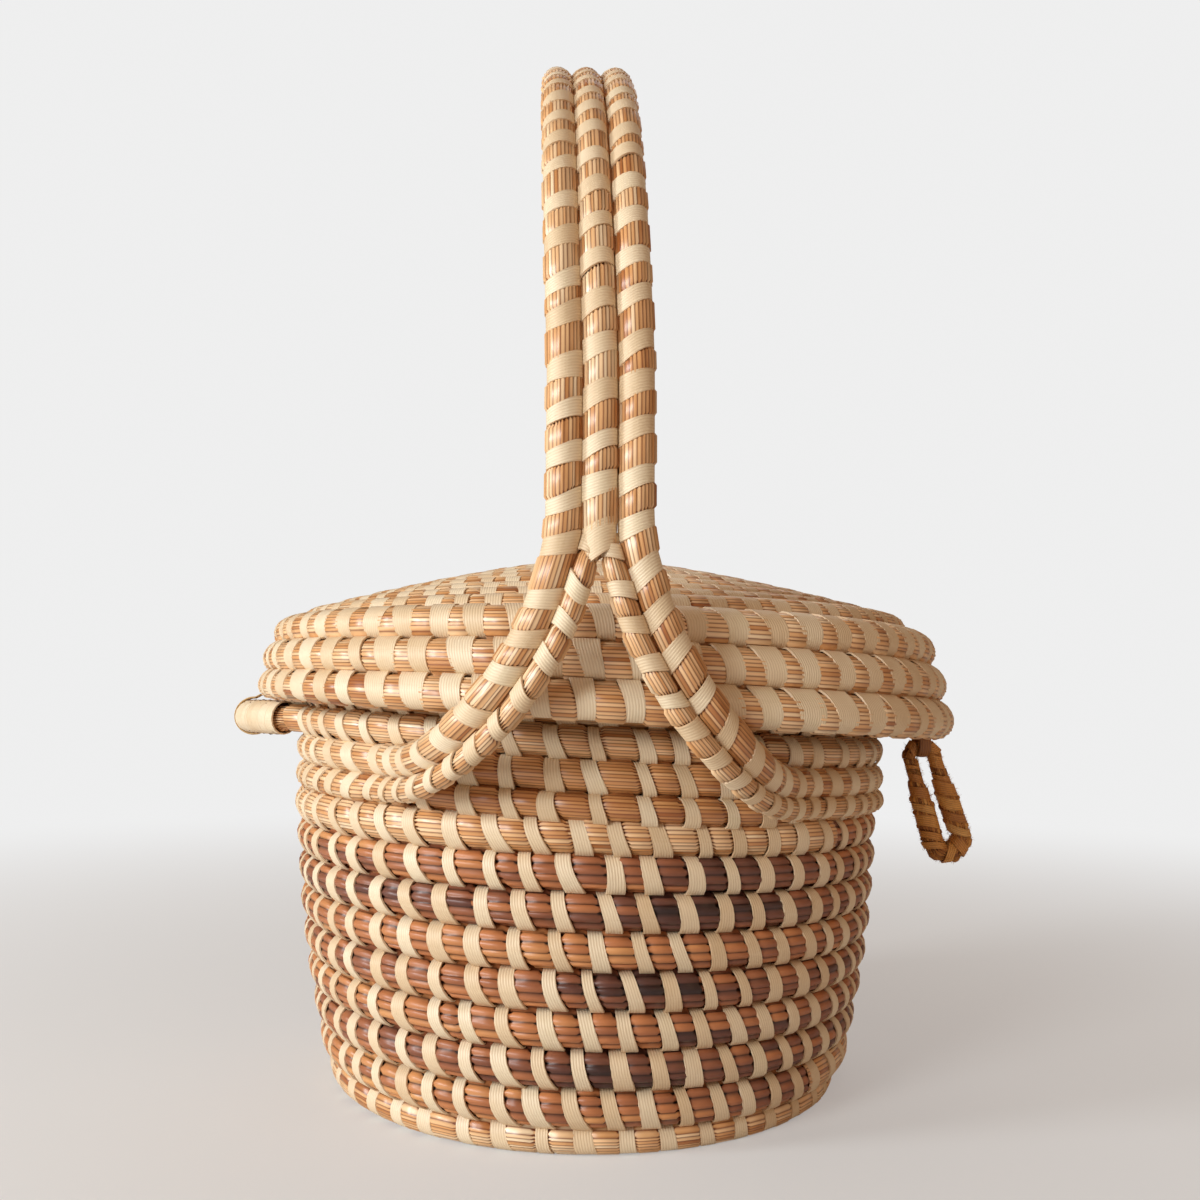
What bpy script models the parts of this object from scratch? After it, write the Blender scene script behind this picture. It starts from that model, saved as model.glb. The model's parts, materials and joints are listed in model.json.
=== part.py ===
"""A lidded round basket of coiled sweetgrass and bulrush, with a fixed handle of three coils.

Metres, +Z up. The origin is the middle of the base, on the table. The hinge loop is on -X,
the latch loop on +X, and the handle stands in the YZ plane.
"""
import math

import bpy
import numpy as np
from mathutils import Matrix, Vector

# Gaps between coils that lie together, and between pieces that touch
ROW_GAP = 0.0005
SEAT_GAP = 0.0003

# Base and wall
KNOT_RADIUS = 0.006
KNOT_HEIGHT = 0.007
FOOT_RADIUS = 0.0823            # centreline of the last flat turn of the base
BASE_TURNS = 8
PRESSED_SHARE = 0.1             # share of the coil's thickness pressed flat by the table
BULRUSH_RADIUS = 0.0057
BULRUSH_TOP_RADIUS = 0.0051
BULRUSH_TURNS = 7
BLEND_TURNS = 0.25              # over which one kind of grass takes over from the other
WALL_GRASS_RADIUS = 0.00475
TAIL_RADIUS = 0.001             # a coil that runs out is thinned to this
START_ANGLE = math.radians(-35)  # where the wall leaves the base, seen from above
THIN_SIDE_SHARE = 0.035         # how much thinner the wall's coil is on the latch's side
SHOULDER_OUTSET = 0.0015        # from the wall's outside to that of the rows above it
SHOULDER_SLOPE_SHARE = 0.05     # fall of those rows towards the latch

# Handle, its strands and the rows between its feet
HANDLE_RADIUS = 0.0046
STRAND_RADIUS = 0.003
STRAND_TOP_RADIUS = 0.0025
STRAND_SWOLLEN_RADIUS = 0.0042  # of the left strand, where it lies along the wall
STRAND_GAP = 0.0004
HANDLE_LEG_HEIGHT = 0.215       # where the legs begin to arch over
HANDLE_LEAN_SHARE = 0.034       # lean of the arch towards the hinge
LEG_CLEARANCE = 0.0019          # from the lid's skirt to a leg
FORK_HEIGHT = 0.178             # where the side coils begin to part
STRAND_TOP_DROP = 0.0127        # from there to the strands' tops
MIDDLE_GAP = 0.001              # from the strands' tops to the middle coil
MERGE_ANGLE = math.radians(40)  # from the handle's plane to where a leg joins the wall
GAP_ROW_ANGLE = math.radians(30)
GAP_ROW_TIP_RADIUS = 0.0012

# Rim, hinge loop and the neck inside the lid
RIM_RADIUS = 0.0043
NECK_RADIUS = 0.0045
NECK_INSET = 0.0012
NECK_TURNS = 3
HINGE_LOOP_RADIUS = 0.0059
HINGE_OUTSET = 0.0096           # from the lid's lowest row to the hinge's axis
HINGE_DROP = 0.001
BULGE_ANGLE = math.radians(24)
MOUTH_ANGLE = math.radians(14.5)
MOUTH_GAP = 0.0012              # from the rim's end to the loop's

# Lid
LID_SHIFT = 0.002               # the lid sits off centre, towards the latch
LID_LIFT = 0.0014               # from the rim to the lid's lowest row
LID_EDGE_OUTSET = 0.0063        # from the wall's outside to the row at the dome's edge
LID_TOP_TURNS = 10.2
SKIRT_RADIUS = 0.0052
SKIRT_TURNS = 4
LATCH_SIDE_SHARE = 0.13         # how much thicker the skirt's coil is on the latch's side
SKIRT_FALL_SHARE = 1.28         # fall of its edge towards the latch, in radii of the coil

# Ties and latch loop
TIE_RADIUS = 0.0014
TIE_OPENING = math.radians(48)
LATCH_EYE_RADIUS = 0.0044
LATCH_TOP_RADIUS = 0.0026
LATCH_STRAND_RADIUS = 0.0039
LATCH_LENGTH = 0.036
LATCH_HALF_WIDTH = 0.0052
LATCH_TILT = math.radians(16)

STEPS = 24                      # points in a turn
QUARTER_TURN = math.pi / 2
HALF_TURN = math.pi
FULL_TURN = 2 * math.pi
FRONT_ANGLE = -QUARTER_TURN
SIX_SIDES_FLAT = math.cos(math.radians(30))  # a six-sided tube's flat, as a share of its radius
NECK_STEPS = 20
RIM_POINTS = 22
ARCH_POINTS = 16
LEG_POINTS = 16
SIDE_POINTS = 8
LOOP_POINTS = 8
COARSE_TURNS = 3                # the innermost turns have half the points

# Leg from the fork to the wall, as shares of its fall, its turn round the body and its way in
LEG_SHARES = (
    (-0.16, 0.0, 0.0), (0.0, 0.0, 0.0), (0.16, 0.014, 0.0), (0.42, 0.086, 0.02),
    (0.64, 0.197, 0.06), (0.75, 0.278, 0.11), (0.865, 0.40, 0.27), (0.955, 0.57, 0.54),
    (0.993, 0.77, 0.83), (1.0, 1.0, 1.0), (1.0, 1.23, 1.0),
)

# Places along a short row between two feet, and along one strand of the latch loop
GAP_ROW_SHARES = (-1, -0.9, -0.6, -0.2, 0.2, 0.6, 0.9, 1)
SWELL_SHARES = (-0.72, -0.45)   # where the left strand is fully swollen, and where it starts to swell
LATCH_SHARES = (0.25, 0.5, 0.75)

# Lean of each turn from the one before, in degrees above level, at each turn of the wall
WALL_LEAN = ((8, 0), (8.25, 13), (8.5, 26), (8.75, 52), (9, 71), (9.5, 77), (12, 79.5), (14, 84), (16, 85.5))
# The same for the lid, where a negative lean runs down
LID_LEAN = ((0, -9), (5, -13), (9.2, -16), (10.2, -20), (10.45, -26), (10.7, -42), (11.2, -68), (12.2, -79))


def clear_scene():
    for found in list(bpy.data.objects):
        bpy.data.objects.remove(found)


def material(name, colour, roughness):
    made = bpy.data.materials.new(name)
    made.use_nodes = True
    shader = made.node_tree.nodes["Principled BSDF"]
    shader.inputs["Base Color"].default_value = (*colour, 1)
    shader.inputs["Roughness"].default_value = roughness
    shader.inputs["Metallic"].default_value = 0
    return made


def between(table, where):
    """Value at a place in a table of (place, value) rows, read in straight lines."""
    places, values = zip(*table)
    return float(np.interp(where, places, values))


def smooth_row(table, where):
    """Row of a table at a fractional place, on a smooth curve through its inner rows."""
    first = min(int(where), len(table) - 4)
    part = where - first
    a, b, c, d = (np.array(table[first + k]) for k in range(4))
    return b + 0.5 * part * (c - a + part * (2 * a - 5 * b + 4 * c - d + part * (3 * (b - c) + d - a)))


def least_gap(points, radii, apart):
    """Least air between stretches of a tube that are some points apart along it."""
    places, sizes = np.array(points), np.array(radii)
    least = math.inf
    for step in range(apart, len(places)):
        gaps = np.linalg.norm(places[step:] - places[:-step], axis=1) - sizes[step:] - sizes[:-step]
        least = min(least, float(gaps.min()))
    return least


def tube(name, points, radii, finish, collection, tilts=None, closed=False, sides=1, upright=True,
         origin=(0, 0, 0)):
    """A tube through points, with a radius at each, as a curve object with filled caps."""
    curve = bpy.data.curves.new(name, "CURVE")
    curve.dimensions = "3D"
    curve.bevel_depth = max(radii)
    curve.bevel_resolution = sides
    curve.use_fill_caps = True
    curve.twist_mode = "Z_UP" if upright else "MINIMUM"
    spline = curve.splines.new("POLY")
    spline.points.add(len(points) - 1)
    spline.use_cyclic_u = closed
    tilts = tilts or [0] * len(points)
    for knot, place, radius, tilt in zip(spline.points, points, radii, tilts):
        knot.co = (*(Vector(place) - Vector(origin)), 1)
        knot.radius = radius / curve.bevel_depth
        knot.tilt = tilt
    curve.materials.append(finish)
    made = bpy.data.objects.new(name, curve)
    made.location = origin
    collection.objects.link(made)
    return made


def as_mesh(piece):
    """The curve object as a mesh object with welded caps, under the same name."""
    bpy.context.view_layer.update()
    shape = bpy.data.meshes.new_from_object(
        piece.evaluated_get(bpy.context.evaluated_depsgraph_get()))
    name, place, collection = piece.name, piece.matrix_world.copy(), piece.users_collection[0]
    bpy.data.objects.remove(piece)
    made = bpy.data.objects.new(name, shape)
    made.matrix_world = place
    collection.objects.link(made)
    return made


class Path:
    """The line of a coil: its points, its radius at each, and how its six sides are turned."""

    def __init__(self, points, radii, tilts=None):
        self.points = [Vector(point) for point in points]
        self.radii = list(radii)
        self.tilts = list(tilts or [0] * len(self.points))

    def at(self, where):
        """Point, radius and turn at a place counted in points."""
        first = min(int(where), len(self.points) - 2)
        part = where - first
        return (self.points[first].lerp(self.points[first + 1], part),
                self.radii[first] * (1 - part) + self.radii[first + 1] * part,
                self.tilts[first] * (1 - part) + self.tilts[first + 1] * part)

    def stretch(self, start, end=None):
        """The stretch from a place to another, or to the end, each held back by half a seat's gap."""
        end = end or len(self.points) - 1
        inner = range(math.floor(start) + 1, math.ceil(end))
        back = SEAT_GAP / 2 / (self.points[inner[0] + 1] - self.points[inner[0]]).length
        rows = [self.at(start + back), *(self.at(where) for where in inner), self.at(end - back)]
        return Path(*zip(*rows))

    def thinned(self, turns):
        """Every second point left out of the innermost turns."""
        kept = [k for k in range(len(self.points)) if k % 2 == 0 or k > turns * STEPS]
        return Path([self.points[k] for k in kept], [self.radii[k] for k in kept],
                    [self.tilts[k] for k in kept])


class Station:
    """One point of a winding: its angle round the axis, distance from it, height and radius."""

    def __init__(self, angle, distance, height, radius, lean):
        self.angle, self.distance, self.height = angle, distance, height
        self.radius, self.lean = radius, lean

    def point(self, shift=0, lift=0):
        return Vector((shift + self.distance * math.cos(self.angle),
                       self.distance * math.sin(self.angle), lift + self.height))


def wind(start_distance, start_angle, way, turns, radius_at, lean_at, room=None):
    """Stations of a coil in which each turn lies against the turn before it.

    The way is 1 anticlockwise and -1 clockwise, seen from above. A turn that meets the
    limit that room gives is thinned to fit, and the coil ends where it runs out.
    """
    stations = []
    for step in range(round(turns * STEPS) + 1):
        turn = step / STEPS
        angle = start_angle + way * FULL_TURN * turn
        radius, lean = radius_at(turn, angle), lean_at(turn)
        if step < STEPS:
            reach, origin = (2 * radius + ROW_GAP) * turn, (start_distance, 0)
        else:
            before = stations[step - STEPS]
            if room:
                radius = min(radius, room(before, angle))
            if radius < TAIL_RADIUS:
                break
            reach = before.radius + ROW_GAP + radius
            origin = (before.distance, before.height)
        stations.append(Station(angle, origin[0] + reach * math.cos(lean),
                                origin[1] + reach * math.sin(lean), radius, lean))
    return stations


def ring_point(distance, angle, height, slope=0, shift=0):
    """Point on a ring round the axis, whose height falls towards +X by the slope."""
    across = distance * math.cos(angle)
    return Vector((shift + across, distance * math.sin(angle), height - slope * across))


def near_side(stations, turn, angle):
    """The station nearest an angle in the turn after the one given."""
    first = round(turn * STEPS)
    return max(stations[first:first + STEPS], key=lambda s: math.cos(s.angle - angle))


# The whole coil of base and wall, wound clockwise as it rises
base_radius = ((FOOT_RADIUS - KNOT_RADIUS - SEAT_GAP - BASE_TURNS * ROW_GAP)
               / (1 + 2 * BASE_TURNS))
base_height = base_radius * (SIX_SIDES_FLAT - 2 * PRESSED_SHARE)
wall_start = BASE_TURNS + 1
grass_start = wall_start + BULRUSH_TURNS


def wall_radius(turn, angle):
    sizes = ((BASE_TURNS, base_radius), (wall_start, BULRUSH_RADIUS),
             (grass_start - BLEND_TURNS, BULRUSH_TOP_RADIUS), (grass_start, WALL_GRASS_RADIUS))
    thinned = THIN_SIDE_SHARE * max(math.cos(angle), 0) * min(max(turn - BASE_TURNS, 0), 1)
    return between(sizes, turn) * (1 - thinned)


def wall_lean(turn):
    return math.radians(between(WALL_LEAN, turn))


def wall_stations(turns, room=None):
    return wind(KNOT_RADIUS + SEAT_GAP + base_radius, START_ANGLE, -1, turns, wall_radius,
                wall_lean, room)


top_row = near_side(wall_stations(grass_start + 1), grass_start, FRONT_ANGLE)
shoulder_height = base_height + top_row.height + top_row.radius + ROW_GAP
shoulder_distance = top_row.distance + top_row.radius + SHOULDER_OUTSET
handle_row_distance = shoulder_distance - HANDLE_RADIUS


def strand_radius(across):
    """A strand's radius, which swells on the hinge's side."""
    full, start = (share * handle_row_distance for share in SWELL_SHARES)
    return between(((full, STRAND_SWOLLEN_RADIUS), (start, STRAND_RADIUS)), across)


def strand_drop(radius):
    """From a side coil down to its strand, where both lie against the wall."""
    return math.sqrt((HANDLE_RADIUS + radius + STRAND_GAP) ** 2 - (HANDLE_RADIUS - radius) ** 2)


strand_row_height = shoulder_height + STRAND_RADIUS
handle_row_height = strand_row_height + strand_drop(STRAND_RADIUS)


def shoulder(across):
    """Height of the sloping shoulder that the strands' rows lie on."""
    radius = strand_radius(across)
    return handle_row_height - strand_drop(radius) - radius - SHOULDER_SLOPE_SHARE * across


def wall_room(before, angle):
    """Half of what is left between a turn's top and the shoulder."""
    free = shoulder(before.distance * math.cos(angle)) - base_height - before.height - before.radius
    return (free - 2 * ROW_GAP) / 2


# Handle: a side coil is one closed loop, over the arch and round its side of the wall
leg_spacing = 2 * HANDLE_RADIUS + SEAT_GAP
strand_top_height = FORK_HEIGHT - STRAND_TOP_DROP
rim_height = handle_row_height + HANDLE_RADIUS + ROW_GAP + RIM_RADIUS
rim_distance = shoulder_distance - RIM_RADIUS
rim_top = rim_height + RIM_RADIUS

# Lid: a dome wound from its middle, then a skirt of rows that thicken towards the latch
dome_cosine = math.cos(math.radians(LID_LEAN[1][1]))
lid_edge_distance = shoulder_distance + LID_EDGE_OUTSET
lid_radius = ((lid_edge_distance - KNOT_RADIUS - SEAT_GAP - LID_TOP_TURNS * ROW_GAP * dome_cosine)
              / (1 + 2 * LID_TOP_TURNS * dome_cosine))
lid_turns = LID_TOP_TURNS + SKIRT_TURNS
lid_start_angle = HALF_TURN - FULL_TURN * (LID_TOP_TURNS % 1)


def lid_coil_radius(turn, angle):
    thickness = between(((LID_TOP_TURNS - 1, lid_radius), (LID_TOP_TURNS, SKIRT_RADIUS)), turn)
    swell = LATCH_SIDE_SHARE * math.cos(angle) * min(max(turn - LID_TOP_TURNS + 1, 0), 1)
    return thickness * (1 + swell)


def lid_lean(turn):
    return math.radians(between(LID_LEAN, turn))


def lid_stations(room=None):
    return wind(KNOT_RADIUS + SEAT_GAP + lid_radius, lid_start_angle, 1, lid_turns,
                lid_coil_radius, lid_lean, room)


low_row = near_side(lid_stations(), LID_TOP_TURNS + 2, FRONT_ANGLE)
lid_lift = rim_top + LID_LIFT - low_row.height + low_row.radius
skirt_slope = SKIRT_FALL_SHARE * SKIRT_RADIUS / low_row.distance


def lid_room(before, angle):
    """Half of what is left between a turn's underside and the plane of the lid's edge."""
    edge = low_row.height - low_row.radius - skirt_slope * before.distance * math.cos(angle)
    return (before.height - before.radius - edge - ROW_GAP) / 2


lid_coil = lid_stations(lid_room)
skirt_distance = max(station.distance + station.radius for station in lid_coil)
leg_distance = skirt_distance + LEG_CLEARANCE + HANDLE_RADIUS


def leg_point(where, side, end):
    """Point of a side coil on its way from the fork round to its row of the wall."""
    drop, turn, inward = smooth_row(LEG_SHARES, where)
    first_angle = math.asin(leg_spacing / leg_distance)
    angle = first_angle + turn * (MERGE_ANGLE - first_angle)
    distance = leg_distance - inward * (leg_distance - handle_row_distance)
    across = side * distance * math.sin(angle)
    fall = FORK_HEIGHT - handle_row_height + SHOULDER_SLOPE_SHARE * across
    return Vector((across, end * distance * math.cos(angle), FORK_HEIGHT - drop * fall))


def arch(across, foot):
    """Half circle with straight legs down to a foot, from the near side to the far one."""
    near = [Vector((across, -leg_distance, foot)), Vector((across, -leg_distance, HANDLE_LEG_HEIGHT))]
    over = []
    for k in range(1, ARCH_POINTS):
        rise = leg_distance * math.sin(HALF_TURN * k / ARCH_POINTS)
        over.append(Vector((across - HANDLE_LEAN_SHARE * rise,
                            -leg_distance * math.cos(HALF_TURN * k / ARCH_POINTS),
                            HANDLE_LEG_HEIGHT + rise)))
    return near + over + [Vector((across, -point.y, point.z)) for point in reversed(near)]


def leg_way(side, end):
    """A leg's points from the fork down to the wall."""
    last = len(LEG_SHARES) - 3
    return [leg_point(last * k / LEG_POINTS, side, end) for k in range(LEG_POINTS + 1)]


def side_row(side):
    """Points of a side coil's row round the wall, between its two legs' ends, near to far."""
    half = QUARTER_TURN - MERGE_ANGLE
    return [ring_point(side * handle_row_distance, side * half * (2 * k / SIDE_POINTS - 1),
                       handle_row_height, SHOULDER_SLOPE_SHARE) for k in range(1, SIDE_POINTS)]


def side_loop(side):
    """The closed line of a side coil: up the near leg, over, down the far one and back."""
    near, far = leg_way(side, -1), leg_way(side, 1)
    over = arch(side * leg_spacing, HANDLE_LEG_HEIGHT)[1:-1]
    return near[::-1] + over + far + side_row(side)[::-1]


def strand_line(side):
    """A strand lies below its side coil from the fork, round the wall, to the other fork."""
    line = leg_way(side, -1) + side_row(side) + leg_way(side, 1)[::-1]
    points = []
    for before, here, after in zip(line, line[1:], line[2:]):
        along = (after - before).normalized()
        outward = Vector((here.x, here.y, 0)).normalized()
        below = side * along.cross(outward).normalized()
        radius = strand_radius(here.x)
        points.append(here + strand_drop(radius) * below + (HANDLE_RADIUS - radius) * outward)
    return [point for point in points if point.z < strand_top_height]


def gap_row(end, distance, height, radius):
    """A short row sewn in between two feet, thinned at its ends, as points and radii."""
    points = [ring_point(distance, end * QUARTER_TURN + share * GAP_ROW_ANGLE, height,
                         SHOULDER_SLOPE_SHARE) for share in GAP_ROW_SHARES]
    tip = [GAP_ROW_TIP_RADIUS]
    return points, tip + [radius] * (len(points) - 2) + tip


def neck_stations():
    """Coil that carries the wall on up inside the lid, thinned at both ends so that it is level."""
    stations = []
    distance = rim_distance - NECK_INSET
    for step in range(NECK_TURNS * NECK_STEPS + 1):
        turn = step / NECK_STEPS
        angle = QUARTER_TURN - FULL_TURN * turn
        radius = between(((0, TAIL_RADIUS), (1, NECK_RADIUS), (NECK_TURNS - 1, NECK_RADIUS),
                          (NECK_TURNS, TAIL_RADIUS)), turn)
        if turn < 1:
            floor = rim_top - SHOULDER_SLOPE_SHARE * distance * math.cos(angle)
        else:
            floor = stations[step - NECK_STEPS].height + stations[step - NECK_STEPS].radius
        stations.append(Station(angle, distance, floor + ROW_GAP + radius, radius, QUARTER_TURN))
    return stations


def path_of(stations, shift=0, lift=0, way=-1):
    """The line of a winding, with two of its six edges kept towards the turns beside it."""
    return Path([station.point(shift, lift) for station in stations],
                [station.radius for station in stations],
                [-way * station.lean for station in stations])


def rim_point(angle, hinge_reach):
    """Point of the rim's row, which leaves the wall as a loop on the hinge's side."""
    off = math.remainder(angle - HALF_TURN, FULL_TURN) / BULGE_ANGLE
    bulge = (1 + math.cos(HALF_TURN * off)) / 2 if abs(off) < 1 else 0
    return ring_point(rim_distance + bulge * hinge_reach, angle, rim_height - bulge * HINGE_DROP,
                      SHOULDER_SLOPE_SHARE)


def knot(name, height, finish, collection, shift=0):
    """The little disc of wound grass that a coil starts from."""
    bpy.ops.mesh.primitive_cylinder_add(vertices=STEPS, radius=KNOT_RADIUS, depth=KNOT_HEIGHT,
                                        location=(shift, 0, height + KNOT_HEIGHT / 2))
    made = bpy.context.object
    made.name = name
    made.data.materials.append(finish)
    for holder in made.users_collection:
        holder.objects.unlink(made)
    collection.objects.link(made)
    return made


def coil(name, path, finish, collection, origin=(0, 0, 0)):
    """A wound coil; its least gap to itself is measured on its points and printed."""
    gap = least_gap([tuple(point) for point in path.points], path.radii, STEPS // 2)
    print(f"{name}: least gap to itself {gap * 1000:.2f} mm")
    return tube(name, path.points, path.radii, finish, collection, path.tilts, origin=origin)


def hang_on(name, place, pieces, collection, parent=None):
    """Parent pieces to an empty on their joint's axis."""
    axis = bpy.data.objects.new(name, None)
    axis.location = place
    collection.objects.link(axis)
    bpy.context.view_layer.update()
    if parent:
        axis.parent = parent
        axis.matrix_parent_inverse = parent.matrix_world.inverted()
    for piece in pieces:
        piece.parent = axis
        piece.matrix_parent_inverse = Matrix.Translation(-Vector(place))
    return axis


clear_scene()
basket = bpy.data.collections.new("coiled_basket")
bpy.context.scene.collection.children.link(basket)
sweetgrass = material("sweetgrass", (0.72, 0.42, 0.19), 0.6)
bulrush = material("bulrush", (0.36, 0.17, 0.09), 0.55)
palm = material("palm_strip", (0.85, 0.70, 0.45), 0.5)
brown_grass = material("brown_grass", (0.42, 0.22, 0.07), 0.7)

# Base and wall
knot("base_start_knot", 0, sweetgrass, basket)
wall = path_of(wall_stations(grass_start + 1, wall_room), lift=base_height)
base_cut, grass_cut = wall_start * STEPS + 0.5, grass_start * STEPS + 0.5
base = as_mesh(coil("base_coil", wall.stretch(0, base_cut).thinned(COARSE_TURNS), sweetgrass, basket))
for vertex in base.data.vertices:
    vertex.co.z = max(vertex.co.z, 0)
coil("bulrush_wall_coil", wall.stretch(base_cut, grass_cut), bulrush, basket)
coil("sweetgrass_wall_coil", wall.stretch(grass_cut), sweetgrass, basket)

# Handle: three coils, of which the middle one parts into two strands at each foot
for side, word in ((-1, "left"), (1, "right")):
    loop = side_loop(side)
    tube(f"handle_{word}_coil", loop, [HANDLE_RADIUS] * len(loop), sweetgrass, basket,
         closed=True, sides=2, upright=False)
    line = strand_line(side)
    ends = [STRAND_TOP_RADIUS] * 2
    radii = ends + [strand_radius(point.x) for point in line[2:-2]] + ends
    tube(f"handle_{word}_strand", line, radii, sweetgrass, basket, upright=False)
middle = arch(0, strand_top_height + MIDDLE_GAP)
tube("handle_middle_coil", middle, [HANDLE_RADIUS] * len(middle), sweetgrass, basket, sides=2,
     upright=False)
for end, word in ((-1, "near"), (1, "far")):
    for level, height, radius in (("lower", strand_row_height, STRAND_RADIUS),
                                  ("upper", handle_row_height, HANDLE_RADIUS)):
        line, radii = gap_row(end, shoulder_distance - radius, height, radius)
        tube(f"{level}_gap_row_{word}", line, radii, sweetgrass, basket)

# Rim, with its hinge loop, and the neck
hinge_row = near_side(lid_coil, LID_TOP_TURNS + 2, HALF_TURN)
hinge_reach = hinge_row.distance - LID_SHIFT + HINGE_OUTSET - rim_distance
hinge_place = rim_point(HALF_TURN, hinge_reach)
bulge_offsets = (MOUTH_ANGLE, (MOUTH_ANGLE + BULGE_ANGLE) / 2, BULGE_ANGLE)
open_angle = FULL_TURN - 2 * BULGE_ANGLE
rim_angles = [HALF_TURN + offset for offset in bulge_offsets]
rim_angles += [HALF_TURN + BULGE_ANGLE + open_angle * k / RIM_POINTS for k in range(1, RIM_POINTS)]
rim_angles += [HALF_TURN + FULL_TURN - offset for offset in reversed(bulge_offsets)]
tube("rim_coil", [rim_point(angle, hinge_reach) for angle in rim_angles],
     [RIM_RADIUS] * len(rim_angles), sweetgrass, basket, tilts=[QUARTER_TURN] * len(rim_angles))
loop_half_angle = MOUTH_ANGLE - MOUTH_GAP / rim_distance
loop_line = [rim_point(HALF_TURN + loop_half_angle * (2 * k / LOOP_POINTS - 1), hinge_reach)
             for k in range(LOOP_POINTS + 1)]
tube("hinge_loop", loop_line, [HINGE_LOOP_RADIUS] * len(loop_line), palm, basket, sides=2)
coil("neck_coil", path_of(neck_stations()), sweetgrass, basket)

# Lid, made at its hinge
lid_path = path_of(lid_coil, LID_SHIFT, lid_lift, 1)
skirt_cut = round(LID_TOP_TURNS * STEPS) + 0.5
lid_top = lid_path.stretch(0, skirt_cut).thinned(COARSE_TURNS)
lid_skirt = lid_path.stretch(skirt_cut)
lid_knot = knot("lid_start_knot", lid_lift - KNOT_HEIGHT / 2, sweetgrass, basket, LID_SHIFT)
lid_pieces = [lid_knot,
              coil("lid_top_coil", lid_top, sweetgrass, basket, hinge_place),
              coil("lid_skirt_coil", lid_skirt, sweetgrass, basket, hinge_place)]

# Tie that holds the lid to the hinge loop, concentric with the loop
tie_distance = HINGE_LOOP_RADIUS + 2 * SEAT_GAP + TIE_RADIUS
row_place = hinge_row.point(LID_SHIFT, lid_lift)
row_angle = math.atan2(row_place.z - hinge_place.z, row_place.x - hinge_place.x)
tie_angles = [row_angle + TIE_OPENING / 2 + (FULL_TURN - TIE_OPENING) * k / STEPS
              for k in range(STEPS + 1)]
tie_line = [hinge_place + tie_distance * Vector((math.cos(angle), 0, math.sin(angle)))
            for angle in tie_angles]
lid_pieces.append(tube("lid_hinge_tie", tie_line, [TIE_RADIUS] * len(tie_line), palm, basket,
                       upright=False, origin=hinge_place))

# Staple of palm strip under the skirt's lowest row, and the latch loop that hangs in it
latch_row = near_side(lid_coil, LID_TOP_TURNS + 2, 0)
latch_top = Vector((LID_SHIFT + latch_row.distance, 0,
                    lid_lift + latch_row.height - latch_row.radius - 2 * SEAT_GAP))
latch_place = latch_top - Vector((0, 0, LATCH_EYE_RADIUS + LATCH_TOP_RADIUS))
staple_half = LATCH_TOP_RADIUS + 2 * SEAT_GAP + TIE_RADIUS
staple_line = [Vector((latch_place.x, -staple_half * math.cos(HALF_TURN * k / LOOP_POINTS),
                       latch_place.z + staple_half * (1 - math.sin(HALF_TURN * k / LOOP_POINTS))))
               for k in range(LOOP_POINTS + 1)]
staple_line = ([Vector((latch_place.x, -staple_half, latch_top.z))] + staple_line
               + [Vector((latch_place.x, staple_half, latch_top.z))])
lid_pieces.append(tube("latch_tie", staple_line, [TIE_RADIUS] * len(staple_line), palm, basket,
                       upright=False, origin=hinge_place))
lid_axis = hang_on("lid_axis", hinge_place, lid_pieces, basket)

bottom = LATCH_LENGTH - LATCH_HALF_WIDTH
spread = LATCH_HALF_WIDTH - LATCH_EYE_RADIUS
turns = [HALF_TURN * k / LOOP_POINTS for k in range(LOOP_POINTS + 1)]
eye = [(-LATCH_EYE_RADIUS * math.cos(turn), LATCH_EYE_RADIUS * math.sin(turn)) for turn in turns]
bend = [(LATCH_HALF_WIDTH * math.cos(turn), -bottom - LATCH_HALF_WIDTH * math.sin(turn))
        for turn in turns]
strand = [(LATCH_EYE_RADIUS + share * spread, -share * bottom) for share in LATCH_SHARES]
latch_line = eye + strand + bend + [(-across, down) for across, down in reversed(strand)]
thick = [LATCH_TOP_RADIUS, LATCH_STRAND_RADIUS, LATCH_STRAND_RADIUS]
latch_radii = ([LATCH_TOP_RADIUS] * len(eye) + thick + [LATCH_STRAND_RADIUS] * len(bend)
               + thick[::-1])
swing = Matrix.Rotation(-LATCH_TILT, 3, "Y")
latch_points = [latch_place + swing @ Vector((across, 0, down)) for across, down in latch_line]
latch = tube("latch_loop", latch_points, latch_radii, brown_grass, basket, closed=True, sides=2,
             upright=False, origin=latch_place)
hang_on("latch_axis", latch_place, [latch], basket, lid_axis)
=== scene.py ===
"""Looks of a lidded round basket of coiled sweetgrass and bulrush, sewn with palm leaf strips."""
import json
import math

import bpy
import numpy as np
from mathutils import Matrix, Vector


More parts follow.
